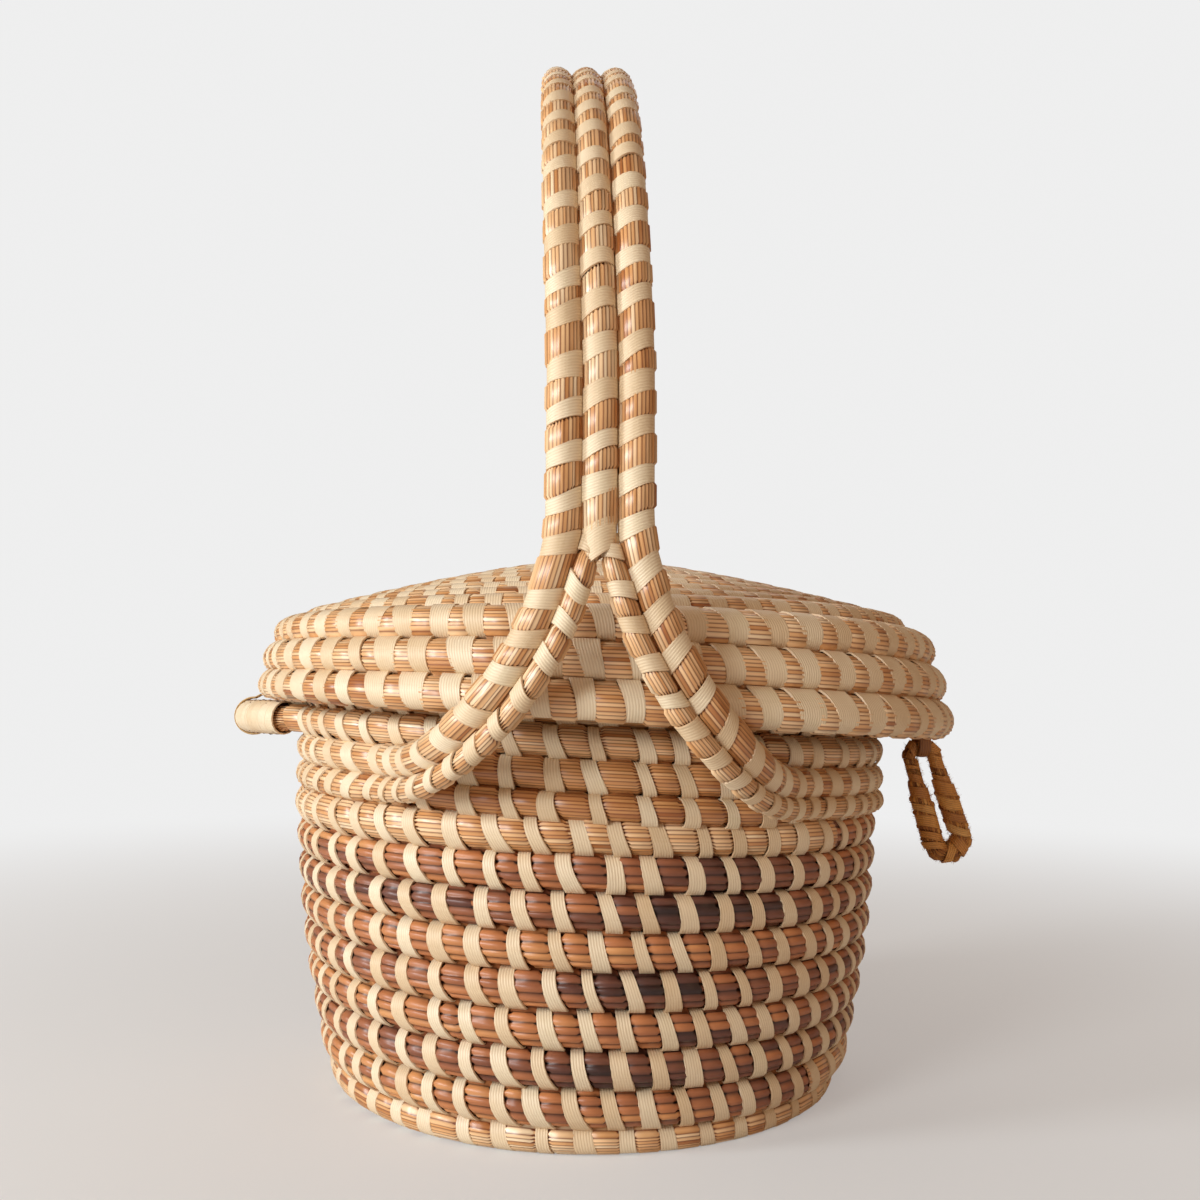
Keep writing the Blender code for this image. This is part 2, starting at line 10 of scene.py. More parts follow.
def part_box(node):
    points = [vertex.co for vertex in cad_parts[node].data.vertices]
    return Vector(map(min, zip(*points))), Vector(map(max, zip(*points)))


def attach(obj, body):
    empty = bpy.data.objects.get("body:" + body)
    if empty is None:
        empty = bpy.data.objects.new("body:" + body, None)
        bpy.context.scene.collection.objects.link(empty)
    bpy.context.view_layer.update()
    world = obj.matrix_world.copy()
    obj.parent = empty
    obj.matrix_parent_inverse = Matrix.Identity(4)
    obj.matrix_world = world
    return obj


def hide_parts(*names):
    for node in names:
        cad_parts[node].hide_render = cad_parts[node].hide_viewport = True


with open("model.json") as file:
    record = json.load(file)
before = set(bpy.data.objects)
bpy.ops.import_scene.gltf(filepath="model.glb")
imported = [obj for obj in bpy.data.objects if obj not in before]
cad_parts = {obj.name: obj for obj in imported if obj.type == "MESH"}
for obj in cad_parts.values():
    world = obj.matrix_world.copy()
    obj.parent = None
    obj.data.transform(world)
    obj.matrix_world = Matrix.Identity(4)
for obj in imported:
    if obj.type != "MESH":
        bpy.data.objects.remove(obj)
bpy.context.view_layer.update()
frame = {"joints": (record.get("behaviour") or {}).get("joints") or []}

# Camera, floor and light
# The basket stands on a pale floor and is seen from just above its rim, a little from the left.
# Soft lamps stand on the left, weaker ones on the right and behind, and the room fills the rest.
CAMERA_DISTANCE = 0.4228
CAMERA_HEIGHT = 0.1295
CAMERA_AZIMUTH = math.radians(0.88)
CAMERA_TURN = math.radians(0.43)
CAMERA_PITCH = math.radians(4.95)
CAMERA_ROLL = math.radians(0.37)
LENS_MM, FILM_MM = 34.2, 36
NEAREST_SEEN = 0.01
AIM = (0, 0, 0.15)
LAMPS = (("key_lamp", (-0.95, -1.1, 0.5), 0.5, 12, (0.93, 0.98, 1)),
         ("side_lamp", (-1.55, -0.55, 0.6), 0.4, 16.5, (0.90, 0.96, 1)),
         ("fill_lamp", (1.1, -1.0, 0.8), 1.2, 2.5, (1, 0.71, 0.48)),
         ("back_lamp", (0.2, 1.1, 1.2), 1.2, 3, (1, 1, 1)))
ROOM_COLOUR, ROOM_LIGHT = (0.97, 0.68, 0.48), 0.29
ROOM_SEEN = (0.86, 0.86, 0.86, 1)
PALE, FLOOR_ROUGHNESS = (0.76, 0.75, 0.73, 1), 0.8
FLOOR_HALF, FLOOR_DROP = 4.0, 0.0002
FLOOR_FADE, FLOOR_GLOW = (0.1, 0.95), 0.35

camera = bpy.data.objects.new("camera", bpy.data.cameras.new("camera"))
camera.data.lens, camera.data.sensor_width = LENS_MM, FILM_MM
camera.data.clip_start = NEAREST_SEEN
camera.location = (-CAMERA_DISTANCE * math.sin(CAMERA_AZIMUTH), -CAMERA_DISTANCE * math.cos(CAMERA_AZIMUTH),
                   CAMERA_HEIGHT)
camera.rotation_euler = (Matrix.Rotation(-CAMERA_AZIMUTH - CAMERA_TURN, 3, "Z")
                         @ Matrix.Rotation(math.pi / 2 + CAMERA_PITCH, 3, "X")
                         @ Matrix.Rotation(CAMERA_ROLL, 3, "Z")).to_euler()
bpy.context.scene.collection.objects.link(camera)
bpy.context.scene.camera = camera
bpy.context.scene.view_settings.view_transform = "Standard"

for name, place, size, power, colour in LAMPS:
    light = bpy.data.lights.new(name, "AREA")
    light.shape, light.size, light.energy, light.color = "DISK", size, power, colour
    lamp = bpy.data.objects.new(name, light)
    lamp.location = place
    lamp.rotation_euler = (Vector(AIM) - Vector(place)).to_track_quat("-Z", "Y").to_euler()
    bpy.context.scene.collection.objects.link(lamp)


def rgb(red, green, blue):
    """A colour given as it looks on a screen, in 0 to 255, as linear light."""
    return tuple(((value / 255 + 0.055) / 1.055) ** 2.4 for value in (red, green, blue))


def fill_ramp(ramp, stops):
    while len(ramp.elements) < len(stops):
        ramp.elements.new(0.5)
    for element, (place, *colour) in zip(ramp.elements, stops):
        element.position, element.color = place, (*rgb(*colour), 1)


class Socket:
    """A node socket on which arithmetic adds the nodes that work it out."""

    def __init__(self, tree, link=None):
        self.tree, self.link = tree, link

    def node(self, kind, settings=None, inputs=None, output=0):
        """A node of a type, with its settings and the values or links of its sockets."""
        made = self.tree.nodes.new(kind)
        for key, value in (settings or {}).items():
            if key == "stops":
                fill_ramp(made.color_ramp, value)
            else:
                setattr(made, key, value)
        for key, value in (inputs or {}).items():
            if isinstance(value, Socket):
                value.feed(made.inputs[key])
            else:
                made.inputs[key].default_value = value
        return Socket(self.tree, made.outputs[output])

    def feed(self, into):
        self.tree.links.new(self.link, into)

    def maths(self, operation, *values):
        return self.node("ShaderNodeMath", {"operation": operation}, dict(enumerate(values)))

    def __add__(self, other):
        return self.maths("ADD", self, other)

    __radd__ = __add__

    def __sub__(self, other):
        return self.maths("SUBTRACT", self, other)

    def __rsub__(self, other):
        return self.maths("SUBTRACT", other, self)

    def __mul__(self, other):
        return self.maths("MULTIPLY", self, other)

    __rmul__ = __mul__

    def __pow__(self, exponent):
        return self.maths("POWER", self, exponent)

    def __abs__(self):
        return self.maths("ABSOLUTE", self)

    def sine(self):
        return self.maths("SINE", self)

    def clamp(self):
        return self.node("ShaderNodeClamp", inputs={"Value": self})

    def noise(self, scales, detail=2.0, rough=0.5):
        """Noise at this place, with a scale for each direction."""
        where = self.node("ShaderNodeVectorMath", {"operation": "MULTIPLY"}, {0: self, 1: scales})
        return self.node("ShaderNodeTexNoise", inputs={"Vector": where, "Scale": 1.0, "Detail": detail,
                                                       "Roughness": rough})

    def ramp(self, *stops):
        return self.node("ShaderNodeValToRGB", {"stops": stops}, {"Fac": self})

    def towards(self, colour, share):
        """This colour mixed with another by a share."""
        return self.node("ShaderNodeMix", {"data_type": "RGBA"}, {0: share, 6: self, 7: (*rgb(*colour), 1)}, 2)

    def mixed(self, shader, other):
        """Two shaders mixed, where this is the share of the second."""
        return self.node("ShaderNodeMixShader", inputs={0: self, 1: shader, 2: other})


def start_finish(name):
    """A new material, its start socket and its shader."""
    made = bpy.data.materials.new(name)
    made.use_nodes = True
    return made, Socket(made.node_tree), made.node_tree.nodes["Principled BSDF"]


world = bpy.data.worlds.new("room")
world.use_nodes = True
start = Socket(world.node_tree)
room = start.node("ShaderNodeBackground", inputs={"Color": (*ROOM_COLOUR, 1), "Strength": ROOM_LIGHT})
seen = start.node("ShaderNodeBackground", inputs={"Color": ROOM_SEEN})
seen_or_not = start.node("ShaderNodeLightPath").mixed(room, seen)
seen_or_not.feed(world.node_tree.nodes["World Output"].inputs["Surface"])
bpy.context.scene.world = world

bpy.ops.mesh.primitive_plane_add(size=2 * FLOOR_HALF, location=(0, 0, -FLOOR_DROP))
floor = bpy.context.object
floor.name = "floor"
floor_finish, start, shader = start_finish("floor")
shader.inputs["Base Color"].default_value = PALE
shader.inputs["Roughness"].default_value = FLOOR_ROUGHNESS
place = start.node("ShaderNodeTexCoord", output="Object")
distance = start.node("ShaderNodeVectorMath", {"operation": "LENGTH"}, {0: place}, "Value")
fade = start.node("ShaderNodeMapRange", {"interpolation_type": "SMOOTHSTEP"}, {
    "Value": distance, "From Min": FLOOR_FADE[0], "From Max": FLOOR_FADE[1], "To Min": FLOOR_GLOW})
glow = start.node("ShaderNodeEmission", inputs={"Color": ROOM_SEEN})
far = fade * start.node("ShaderNodeLightPath")
both = far.mixed(Socket(start.tree, shader.outputs[0]), glow)
both.feed(floor_finish.node_tree.nodes["Material Output"].inputs["Surface"])
floor.data.materials.append(floor_finish)

# Coil of the base
# One long bundle of sweetgrass blades, wound outwards from a knot, each turn sewn to the one
# before it with strips of palm leaf that wrap the bundle and bite into its neighbour.
ROW_GAP = 0.0005
SEAT_GAP = 0.0003
KNOT_RADIUS = 0.006
FOOT_RADIUS = 0.0823
BASE_TURNS = 8
PRESSED_SHARE = 0.1
SEAT_ANGLE = math.radians(30)
BULRUSH_RADIUS = 0.0057
BULRUSH_TOP_RADIUS = 0.0051
BULRUSH_TURNS = 7
BLEND_TURNS = 0.25
WALL_GRASS_RADIUS = 0.00475
TAIL_RADIUS = 0.001
TAIL_END = 0.0003
START_ANGLE = math.radians(-35)
THIN_SIDE_SHARE = 0.035
SHOULDER_OUTSET = 0.0015
SHOULDER_SLOPE_SHARE = 0.05
HANDLE_RADIUS = 0.0046
STRAND_RADIUS = 0.003
STRAND_SWOLLEN_RADIUS = 0.0042
STRAND_GAP = 0.0004
SWELL_SHARES = (-0.72, -0.45)
STEPS = 24
FINE_STEPS = 4
QUARTER_TURN = math.pi / 2
HALF_TURN = math.pi
FULL_TURN = 2 * math.pi
FRONT_ANGLE = -QUARTER_TURN
WALL_LEAN = ((8, 0), (8.25, 13), (8.5, 26), (8.75, 52), (9, 71), (9.5, 77), (12, 79.5), (14, 84), (16, 85.5))


def between(table, where):
    """The value of a table of places and values at a place, or at many."""
    return np.interp(where, *zip(*table))


def around(angle):
    """Flat directions from the axis at angles."""
    return np.stack([np.cos(angle), np.sin(angle), 0 * angle], 1)


def wind(first_radius, start_angle, way, turns, radius_at, leans, room=None):
    """Rows of angle, distance, height, radius and lean, each turn laid against the one before."""
    rows, start_distance = [], KNOT_RADIUS + SEAT_GAP + first_radius
    for step in range(round(turns * STEPS) + 1):
        turn = step / STEPS
        angle = start_angle + way * FULL_TURN * turn
        radius, lean = radius_at(turn, angle), math.radians(between(leans, turn))
        if step < STEPS:
            reach, origin = (2 * radius + ROW_GAP) * turn, (start_distance, 0)
        else:
            before = rows[step - STEPS]
            if room:
                radius = max(min(radius, room(before, angle)), TAIL_END)
            reach, origin = before[3] + ROW_GAP + radius, before[1:3]
        rows.append((angle, origin[0] + reach * math.cos(lean), origin[1] + reach * math.sin(lean),
                     radius, lean))
    return np.array(rows)


def near_side(rows, turn, angle):
    """The row nearest an angle in the turn after the one given."""
    first = round(turn * STEPS)
    part = rows[first:first + STEPS]
    return part[np.argmax(np.cos(part[:, 0] - angle))]


base_radius = ((FOOT_RADIUS - KNOT_RADIUS - SEAT_GAP - BASE_TURNS * ROW_GAP)
               / (1 + 2 * BASE_TURNS))
base_height = base_radius * (math.cos(SEAT_ANGLE) - 2 * PRESSED_SHARE)
wall_start = BASE_TURNS + 1
grass_start = wall_start + BULRUSH_TURNS


def wall_radius(turn, angle):
    sizes = ((BASE_TURNS, base_radius), (wall_start, BULRUSH_RADIUS),
             (grass_start - BLEND_TURNS, BULRUSH_TOP_RADIUS), (grass_start, WALL_GRASS_RADIUS))
    thinned = THIN_SIDE_SHARE * max(math.cos(angle), 0) * min(max(turn - BASE_TURNS, 0), 1)
    return between(sizes, turn) * (1 - thinned)


def wall_rows(turns, room=None):
    return wind(base_radius, START_ANGLE, -1, turns, wall_radius, WALL_LEAN, room)


top_row = near_side(wall_rows(grass_start + 1), grass_start, FRONT_ANGLE)
shoulder_height = base_height + top_row[2] + top_row[3] + ROW_GAP
shoulder_distance = top_row[1] + top_row[3] + SHOULDER_OUTSET
handle_row_distance = shoulder_distance - HANDLE_RADIUS


def strand_radius(across):
    """A strand's radius, which swells on the hinge's side."""
    full, start = (share * handle_row_distance for share in SWELL_SHARES)
    return between(((full, STRAND_SWOLLEN_RADIUS), (start, STRAND_RADIUS)), across)


def strand_drop(radius):
    """From a side coil down to its strand, where both lie against the wall."""
    return math.sqrt((HANDLE_RADIUS + radius + STRAND_GAP) ** 2 - (HANDLE_RADIUS - radius) ** 2)


strand_row_height = shoulder_height + STRAND_RADIUS
handle_row_height = strand_row_height + strand_drop(STRAND_RADIUS)


def wall_room(before, angle):
    """Half of what is left between a turn's top and the strands' rows."""
    across = before[1] * math.cos(angle)
    radius = strand_radius(across)
    shoulder = handle_row_height - strand_drop(radius) - radius - SHOULDER_SLOPE_SHARE * across
    return (shoulder - base_height - before[2] - before[3] - 2 * ROW_GAP) / 2


def unit(vectors):
    return vectors / np.maximum(np.linalg.norm(vectors, axis=-1, keepdims=True), 1e-12)


class Course:
    """A stretch of coil: its middle line, its radius, and which way is outward and onward.

    Outward is the side that shows, and onward points away from the turn it is sewn to.
    """

    def __init__(self, places, radii, outward, side):
        self.places, self.radii = np.array(places, float), np.array(radii, float)
        steps = np.linalg.norm(np.diff(self.places, axis=0), axis=1)
        self.marks = np.concatenate([[0], np.cumsum(steps)])
        self.length = self.marks[-1]
        self.along = unit(np.gradient(self.places, axis=0))
        outward = np.array(outward, float)
        self.outward = unit(outward - (outward * self.along).sum(1, keepdims=True) * self.along)
        self.onward = side * np.cross(self.along, self.outward)

    def at(self, marks):
        """Places, radii, and the along, outward and onward directions at distances along it."""
        def read(values):
            return np.stack([np.interp(marks, self.marks, column) for column in values.T], 1)
        return (read(self.places), np.interp(marks, self.marks, self.radii), unit(read(self.along)),
                unit(read(self.outward)), unit(read(self.onward)))


def wound(rows, start, end, outside, lift=0, shift=0):
    """The course of a stretch of a winding, between two places counted in its rows.

    Its outward side lies halfway between the turns on both sides, which may lean differently.
    """
    count = max(2, round((end - start) * FINE_STEPS))
    where = np.linspace(start, end, count + 1)
    angle, distance, height, radius, lean = (np.interp(where, np.arange(len(rows)), column)
                                             for column in rows.T)
    lean = (lean + np.interp(where + STEPS, np.arange(len(rows)), rows[:, 4])) / 2
    radial = around(angle)
    places = radial * distance[:, None] + np.stack([0 * angle + shift, 0 * angle, height + lift], 1)
    upright = np.array([0, 0, 1.0])
    outward = outside * (radial * np.sin(lean)[:, None] - upright * np.cos(lean)[:, None])
    onward = radial * np.cos(lean)[:, None] + upright * np.sin(lean)[:, None]
    made = Course(places, radius, outward, 1)
    if (made.onward * onward).sum() < 0:
        made.onward = -made.onward
    return made


LEAD_FIRST = 3


def led_in(rows, way):
    """The rows with a tapered end before the first, which closes the gap beside the knot."""
    angle, distance, height, radius, lean = rows[0]
    shares = np.arange(LEAD_FIRST, STEPS) / STEPS
    lead = np.stack([angle - way * FULL_TURN * (1 - shares), distance - radius * (1 - shares),
                     height + 0 * shares, radius * shares, lean + 0 * shares], 1)
    return np.vstack([lead, rows])


def stitch_marks(course, pitch, seed, stray=0.06):
    """Distances along a course at which strips wrap it, a little unevenly spaced."""
    count = max(1, round(course.length / pitch))
    rng = np.random.default_rng(seed)
    return (np.arange(count) + 0.5 + rng.normal(0, stray, count)) * course.length / count


def mesh_of(name, vertices, faces, caps, finish, sharp=None):
    shape = bpy.data.meshes.new(name)
    shape.from_pydata(vertices.tolist(), [], faces.tolist() + caps)
    shape.shade_smooth()
    if sharp:
        shape.set_sharp_from_angle(angle=sharp)
    shape.materials.append(finish)
    made = bpy.data.objects.new(name, shape)
    bpy.context.scene.collection.objects.link(made)
    return made


def note(made, name, values, domain="POINT"):
    """Stores values on the mesh for its material to read, as vectors where they come in threes."""
    kind, key = ("FLOAT_VECTOR", "vector") if values.shape[-1] == 3 else ("FLOAT", "value")
    layer = made.data.attributes.new(name, kind, domain)
    layer.data.foreach_set(key, np.ascontiguousarray(values, np.float32).ravel())


def ring_faces(rings, columns, closed=False):
    """Quads between neighbouring rings of points, where the last may close onto the first."""
    ring, column = np.meshgrid(np.arange(rings - 1 + closed), np.arange(columns), indexing="ij")
    after, beside = (ring + 1) % rings, (column + 1) % columns
    return np.stack([ring * columns + column, ring * columns + beside, after * columns + beside,
                     after * columns + column], 2).reshape(-1, 4)


def facing_out(faces, first, second, along):
    """The faces turned over where the rings run the other way round."""
    return faces[:, ::-1] if np.dot(np.cross(first[0], second[0]), along[0]) > 0 else faces


def end_caps(rings, columns):
    return [list(range(columns)), list(range((rings - 1) * columns, rings * columns))]


SHOWN_HALF = math.radians(66)
PINCH_SHARE = 0.1
SIDE_EASE = 0.5
END_LENGTH = 0.0009
END_GROOVE_SHARE = 0.8
TOUCH = 0.0005
STRIP_CURVE = 0.25
AWAY_SHARE = 0.6
STEMS_PER_TOUCH = 15
DIP_SHARE = 0.3
RIDGE_ROUNDNESS = 0.8
STEM_STRAY, STEM_PROUD = 0.1, 0.014
TIGHT_PAINTED_SHADE, CAP_TONE = 0.4, 0.3
BOUND = 0.0021


def stem_edges(stems):
    """Angles of the stems' edges round a coil: close where they show, far apart where rows touch."""
    shown = max(3, round(stems * SHOWN_HALF / HALF_TURN))
    touching, away = max(1, round(stems / STEMS_PER_TOUCH)), max(3, round(AWAY_SHARE * shown))
    counts = np.cumsum([0, shown, touching, away, touching])
    stops = (-SHOWN_HALF, SHOWN_HALF, HALF_TURN - SHOWN_HALF, HALF_TURN + SHOWN_HALF, FULL_TURN - SHOWN_HALF)
    return np.interp(np.arange(counts[-1] + 1), counts, stops)


def leaned(angle):
    """How far a leaning strip has gone sideways, more quickly at its lower end."""
    return np.sin(angle) - STRIP_CURVE * np.sin(angle) ** 2


def bundle(name, course, marks, finish, seed, stems, groove, slant, tone, sides=2, bound=BOUND):
    """Stems side by side round a coil, which swell between its strips and dip under each.

    The groove is how deep the surface falls between two stems, bound is how far from a strip's
    middle the stems come out, and tone gives each stem's shade in each stretch between strips.
    Towards the turns on both sides the stems are pressed against their neighbours.
    """
    rng = np.random.default_rng(seed)
    starts, ends = np.concatenate([[0], marks + bound]), np.concatenate([marks - bound, [course.length]])
    dip = np.minimum(END_LENGTH, DIP_SHARE * (ends - starts))
    stations = np.stack([starts, starts + dip, ends - dip, ends], 1).ravel()
    tight = np.tile([1.0, 0, 0, 1.0], len(starts))
    tight[[0, -1]] = 0
    stretch = np.repeat(np.arange(len(starts)), 4)
    places, radii, along, outward, onward = course.at(stations)
    edges = stem_edges(stems)
    widths, share = np.diff(edges), np.arange(sides) / sides
    ridge = np.tile(np.sin(share * HALF_TURN) ** RIDGE_ROUNDNESS, len(widths))
    stray = rng.normal(0, STEM_STRAY, (len(starts), len(widths))) * widths
    proud = rng.normal(0, STEM_PROUD, (len(starts), len(widths)))
    angle = (edges[:-1, None] + widths[:, None] * share).ravel() + np.repeat(stray, sides, 1)[stretch]
    beside, tight = np.sin(angle) ** 4, tight[:, None]
    pinch = PINCH_SHARE * tight * (1 - SIDE_EASE * beside)
    reach = (radii[:, None] * (1 + np.repeat(proud, sides, 1)[stretch] - pinch)
             + TOUCH * beside * (1 - tight) - groove * (1 - ridge) * (1 + END_GROOVE_SHARE * tight))
    points = (places[:, None] + reach[..., None] * (np.cos(angle)[..., None] * outward[:, None]
                                                    + np.sin(angle)[..., None] * onward[:, None])
              + (slant * radii[:, None] * leaned(angle))[..., None] * along[:, None])
    rings, columns = angle.shape
    faces = facing_out(ring_faces(rings, columns), outward, onward, along)
    made = mesh_of(name, points.reshape(-1, 3), faces, end_caps(rings, columns), finish)
    grain = np.stack([stations[:, None] + 0 * angle, radii[:, None] * np.cos(angle),
                      radii[:, None] * np.sin(angle)], 2)
    note(made, "grain", grain)
    # Where painted shadow goes: in the grooves between stems, deeper next to the strips.
    note(made, "groove", (1 - ridge) * (1 + TIGHT_PAINTED_SHADE * tight))
    shades = np.repeat(tone(rng, (starts + ends) / 2, len(widths))[stretch[:-1]], sides, 1)
    note(made, "tone", np.concatenate([shades.ravel(), [CAP_TONE] * 2]), "FACE")
    return made


STRIP_SEGMENTS = 16
STRIP_PROFILE = ((-1, -0.8), (-0.95, 0.9), (0.95, 0.9), (1, -0.8))
STRIP_THICKNESS = 0.0003
STRIP_SEAT_SHARE = 0.06
STRIP_FLARE = 0.13
STRIP_EDGE = math.radians(38)
WIDTH_LIMITS, LEAN_STRAY, STRIP_WOBBLE = (0.75, 1.4), 0.07, 0.0004
RIB_PITCH = 0.0008


def strips(name, course, marks, finish, seed, width, slant, bite, uneven=0.11):
    """Palm strips, each a loop round the coil, leaning, and drawn into the turn beside it."""
    rng = np.random.default_rng(seed)
    count, segments, points = len(marks), STRIP_SEGMENTS, len(STRIP_PROFILE)
    places, radii, along, outward, onward = course.at(np.clip(marks, 0, course.length))
    widths = width * np.clip(1 + rng.normal(0, uneven, count), *WIDTH_LIMITS)
    leans = slant + rng.normal(0, LEAN_STRAY, count)
    angle = np.arange(segments) / segments * FULL_TURN
    across, height = (np.array(column) for column in zip(*STRIP_PROFILE))
    tuck = np.maximum(0, -np.sin(angle)) ** 3
    reach = (radii[:, None] * (1 - STRIP_SEAT_SHARE) + bite * tuck)[..., None] + STRIP_THICKNESS * height
    side = (widths[:, None] / 2 * (1 - STRIP_FLARE * np.sin(angle)))[..., None] * across
    wobble = STRIP_WOBBLE * rng.normal(0, 1, (count, 1)) * np.cos(angle)
    offset = (leans * radii)[:, None] * leaned(angle) + wobble
    spots = (places[:, None, None] + reach[..., None] * (
        np.cos(angle)[None, :, None, None] * outward[:, None, None]
        + np.sin(angle)[None, :, None, None] * onward[:, None, None])
        + (side + offset[..., None])[..., None] * along[:, None, None])
    one = ring_faces(segments, points, True)
    faces = (one[None] + (np.arange(count) * segments * points)[:, None, None]).reshape(-1, 4)
    made = mesh_of(name, spots.reshape(-1, 3), facing_out(faces, outward, onward, along), [], finish,
                   STRIP_EDGE)
    round_coil = angle[None, :, None] * radii[:, None, None] + 0 * side
    note_leaf(made, round_coil, side, rng.uniform(0, 10, count)[:, None, None] + 0 * side, across + 0 * side)
    note(made, "tone", np.repeat(rng.uniform(0, 1, count), segments * points), "FACE")
    return made


def note_leaf(made, lengthwise, side, start, edge):
    """What a strip's material reads: the place on the leaf, its ribs, and how near its edge is."""
    note(made, "leaf", np.stack([lengthwise, side, start], -1))
    note(made, "ribs", FULL_TURN * (side / RIB_PITCH + start))
    note(made, "edge", edge)


SHINE, SHINE_ROUGHNESS = 0.35, 0.37
BROAD_SCALES = (25, 130, 130)
ALONG_SCALE = 18
MOTTLE_SCALES = (160, 160, 1)
LEAF_SCALES = (30, 2500, 1)
BUMP_DEPTH = 0.0003


def attribute(start, name, output):
    return start.node("ShaderNodeAttribute", {"attribute_name": name}, output=output)


def lay_on(start, shader, colour, roughness, height, strength):
    """Colour, roughness and a bump joined to the shader."""
    colour.feed(shader.inputs["Base Color"])
    roughness.feed(shader.inputs["Roughness"])
    start.node("ShaderNodeBump", inputs={"Height": height, "Strength": strength,
                                         "Distance": BUMP_DEPTH}).feed(shader.inputs["Normal"])


def stem_finish(name, shades, painted_groove_shadow, fibre, roughness, painted_shadow_share, shine=0):
    """Dry stems: a shade for each stem, fine fibres along it, and painted shadow in the grooves between them.
    """
    made, start, shader = start_finish(name)
    grain = attribute(start, "grain", "Vector")
    fine = grain.noise((ALONG_SCALE, fibre, fibre), 3.0, 0.6)
    broad = grain.noise(BROAD_SCALES)
    shade = (attribute(start, "tone", "Fac") + (fine - 0.5) * 0.3 + (broad - 0.5) * 0.22).clamp()
    # Painted shadow: the grooves between stems, and more so next to the strips, are darkened towards the
    # shadow colour.
    dark = (attribute(start, "groove", "Fac") ** 3 * painted_shadow_share).clamp()
    shader.inputs["Coat Weight"].default_value = shine
    shader.inputs["Coat Roughness"].default_value = SHINE_ROUGHNESS
    lay_on(start, shader, shade.ramp(*shades).towards(painted_groove_shadow, dark), roughness + (fine - 0.5) * 0.2,
           fine, 0.3)
    return made


def leaf_finish(name, shades, rib_shade, rib_share, edge_share):
    """Split palm leaf: pale, with fine ribs along each strip and slightly darker edges."""
    made, start, shader = start_finish(name)
    leaf = attribute(start, "leaf", "Vector")
    mottle, fine = leaf.noise(MOTTLE_SCALES), leaf.noise(LEAF_SCALES)
    rib = (attribute(start, "ribs", "Fac") + (mottle - 0.5) * 3.0 + (fine - 0.5) * 2.0).sine() * 0.5 + 0.5
    colour = (attribute(start, "tone", "Fac") * 0.7 + (mottle - 0.5) * 0.5 + 0.15).clamp().ramp(*shades)
    colour = colour.towards(rib_shade, rib ** 3 * rib_share)
    colour = colour.towards(rib_shade, abs(attribute(start, "edge", "Fac")) ** 12 * edge_share)
    lay_on(start, shader, colour, 0.5 + (mottle - 0.5) * 0.2, 1 - rib, 0.28)
    return made


sweetgrass = stem_finish(
    "sweetgrass", ((0, 168, 98, 46), (0.3, 216, 156, 98), (0.6, 237, 191, 140), (1, 248, 221, 182)),
    (118, 58, 27), 900, 0.36, 0.98, SHINE)
palm_strip = leaf_finish(
    "palm_strip", ((0, 214, 185, 146), (0.4, 227, 203, 168), (0.75, 234, 215, 184), (1, 223, 204, 167)),
    (178, 134, 92), 0.28, 0.4)


def grass_tone(rng, marks, stems):
    """Light and dark blades mixed, in stretches that are a little lighter or darker."""
    knots = max(2, int(marks[-1] / TONE_STRETCH) + 2)
    slow = np.interp(marks, np.linspace(0, marks[-1], knots), rng.normal(0.5, 0.12, knots))
    return np.clip(slow[:, None] + rng.normal(0, 0.18, (len(marks), stems)), 0, 1)


def fit(piece, body, node=None):
    """A piece rides on its body, and may stand for a solid, which it hides."""
    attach(piece, body)
    if node:
        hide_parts(node)


TONE_STRETCH = 0.05
BLADES = 28
BLADE_GROOVE = 0.00032
BASE_SLANT = 0.29
BITE = 0.0015
BASE_PITCH = 0.0118
BASE_STRIP_WIDTH = 0.0056
GRASS_TURNS = 1.15


def sew(name, node, body, course, marks, seed, slant, width, bite=BITE, blades=BLADES,
        groove=BLADE_GROOVE, tone=grass_tone, sewn=slice(None)):
    """A sweetgrass coil that stands for its solid, and the palm strips that sew it."""
    grass = bundle(f"{name}_grass", course, marks, sweetgrass, seed + 1, blades, groove, slant, tone)
    sewing = strips(f"{name}_strips", course, marks[sewn], palm_strip, seed + 2, width, slant, bite)
    fit(grass, body, node)
    fit(sewing, body)
    return grass, sewing


wall = wall_rows(grass_start + GRASS_TURNS, wall_room)
base_cut, grass_cut = wall_start * STEPS + 0.5, grass_start * STEPS + 0.5
course = wound(led_in(wall, -1), 0, base_cut + STEPS - LEAD_FIRST, 1, base_height)
for piece in sew("base", "base_coil", "basket", course, stitch_marks(course, BASE_PITCH, 11), 11,
                 BASE_SLANT, BASE_STRIP_WIDTH):
    heights = np.empty(3 * len(piece.data.vertices), np.float32)
    piece.data.vertices.foreach_get("co", heights)
    heights[2::3] = np.maximum(heights[2::3], 0)
    piece.data.vertices.foreach_set("co", heights)

# Knot in the middle of the base
# A few blades bent into a tight ring and bound all round with strips, from which the coil starts.
KNOT_TURN_SHARE, KNOT_FILL = 0.5, 0.96
KNOT_BLADES, KNOT_BOUND = 16, 0.0005
KNOT_STRIPS, KNOT_STRIP_WIDTH, KNOT_SLANT = 13, 0.0021, 0.1


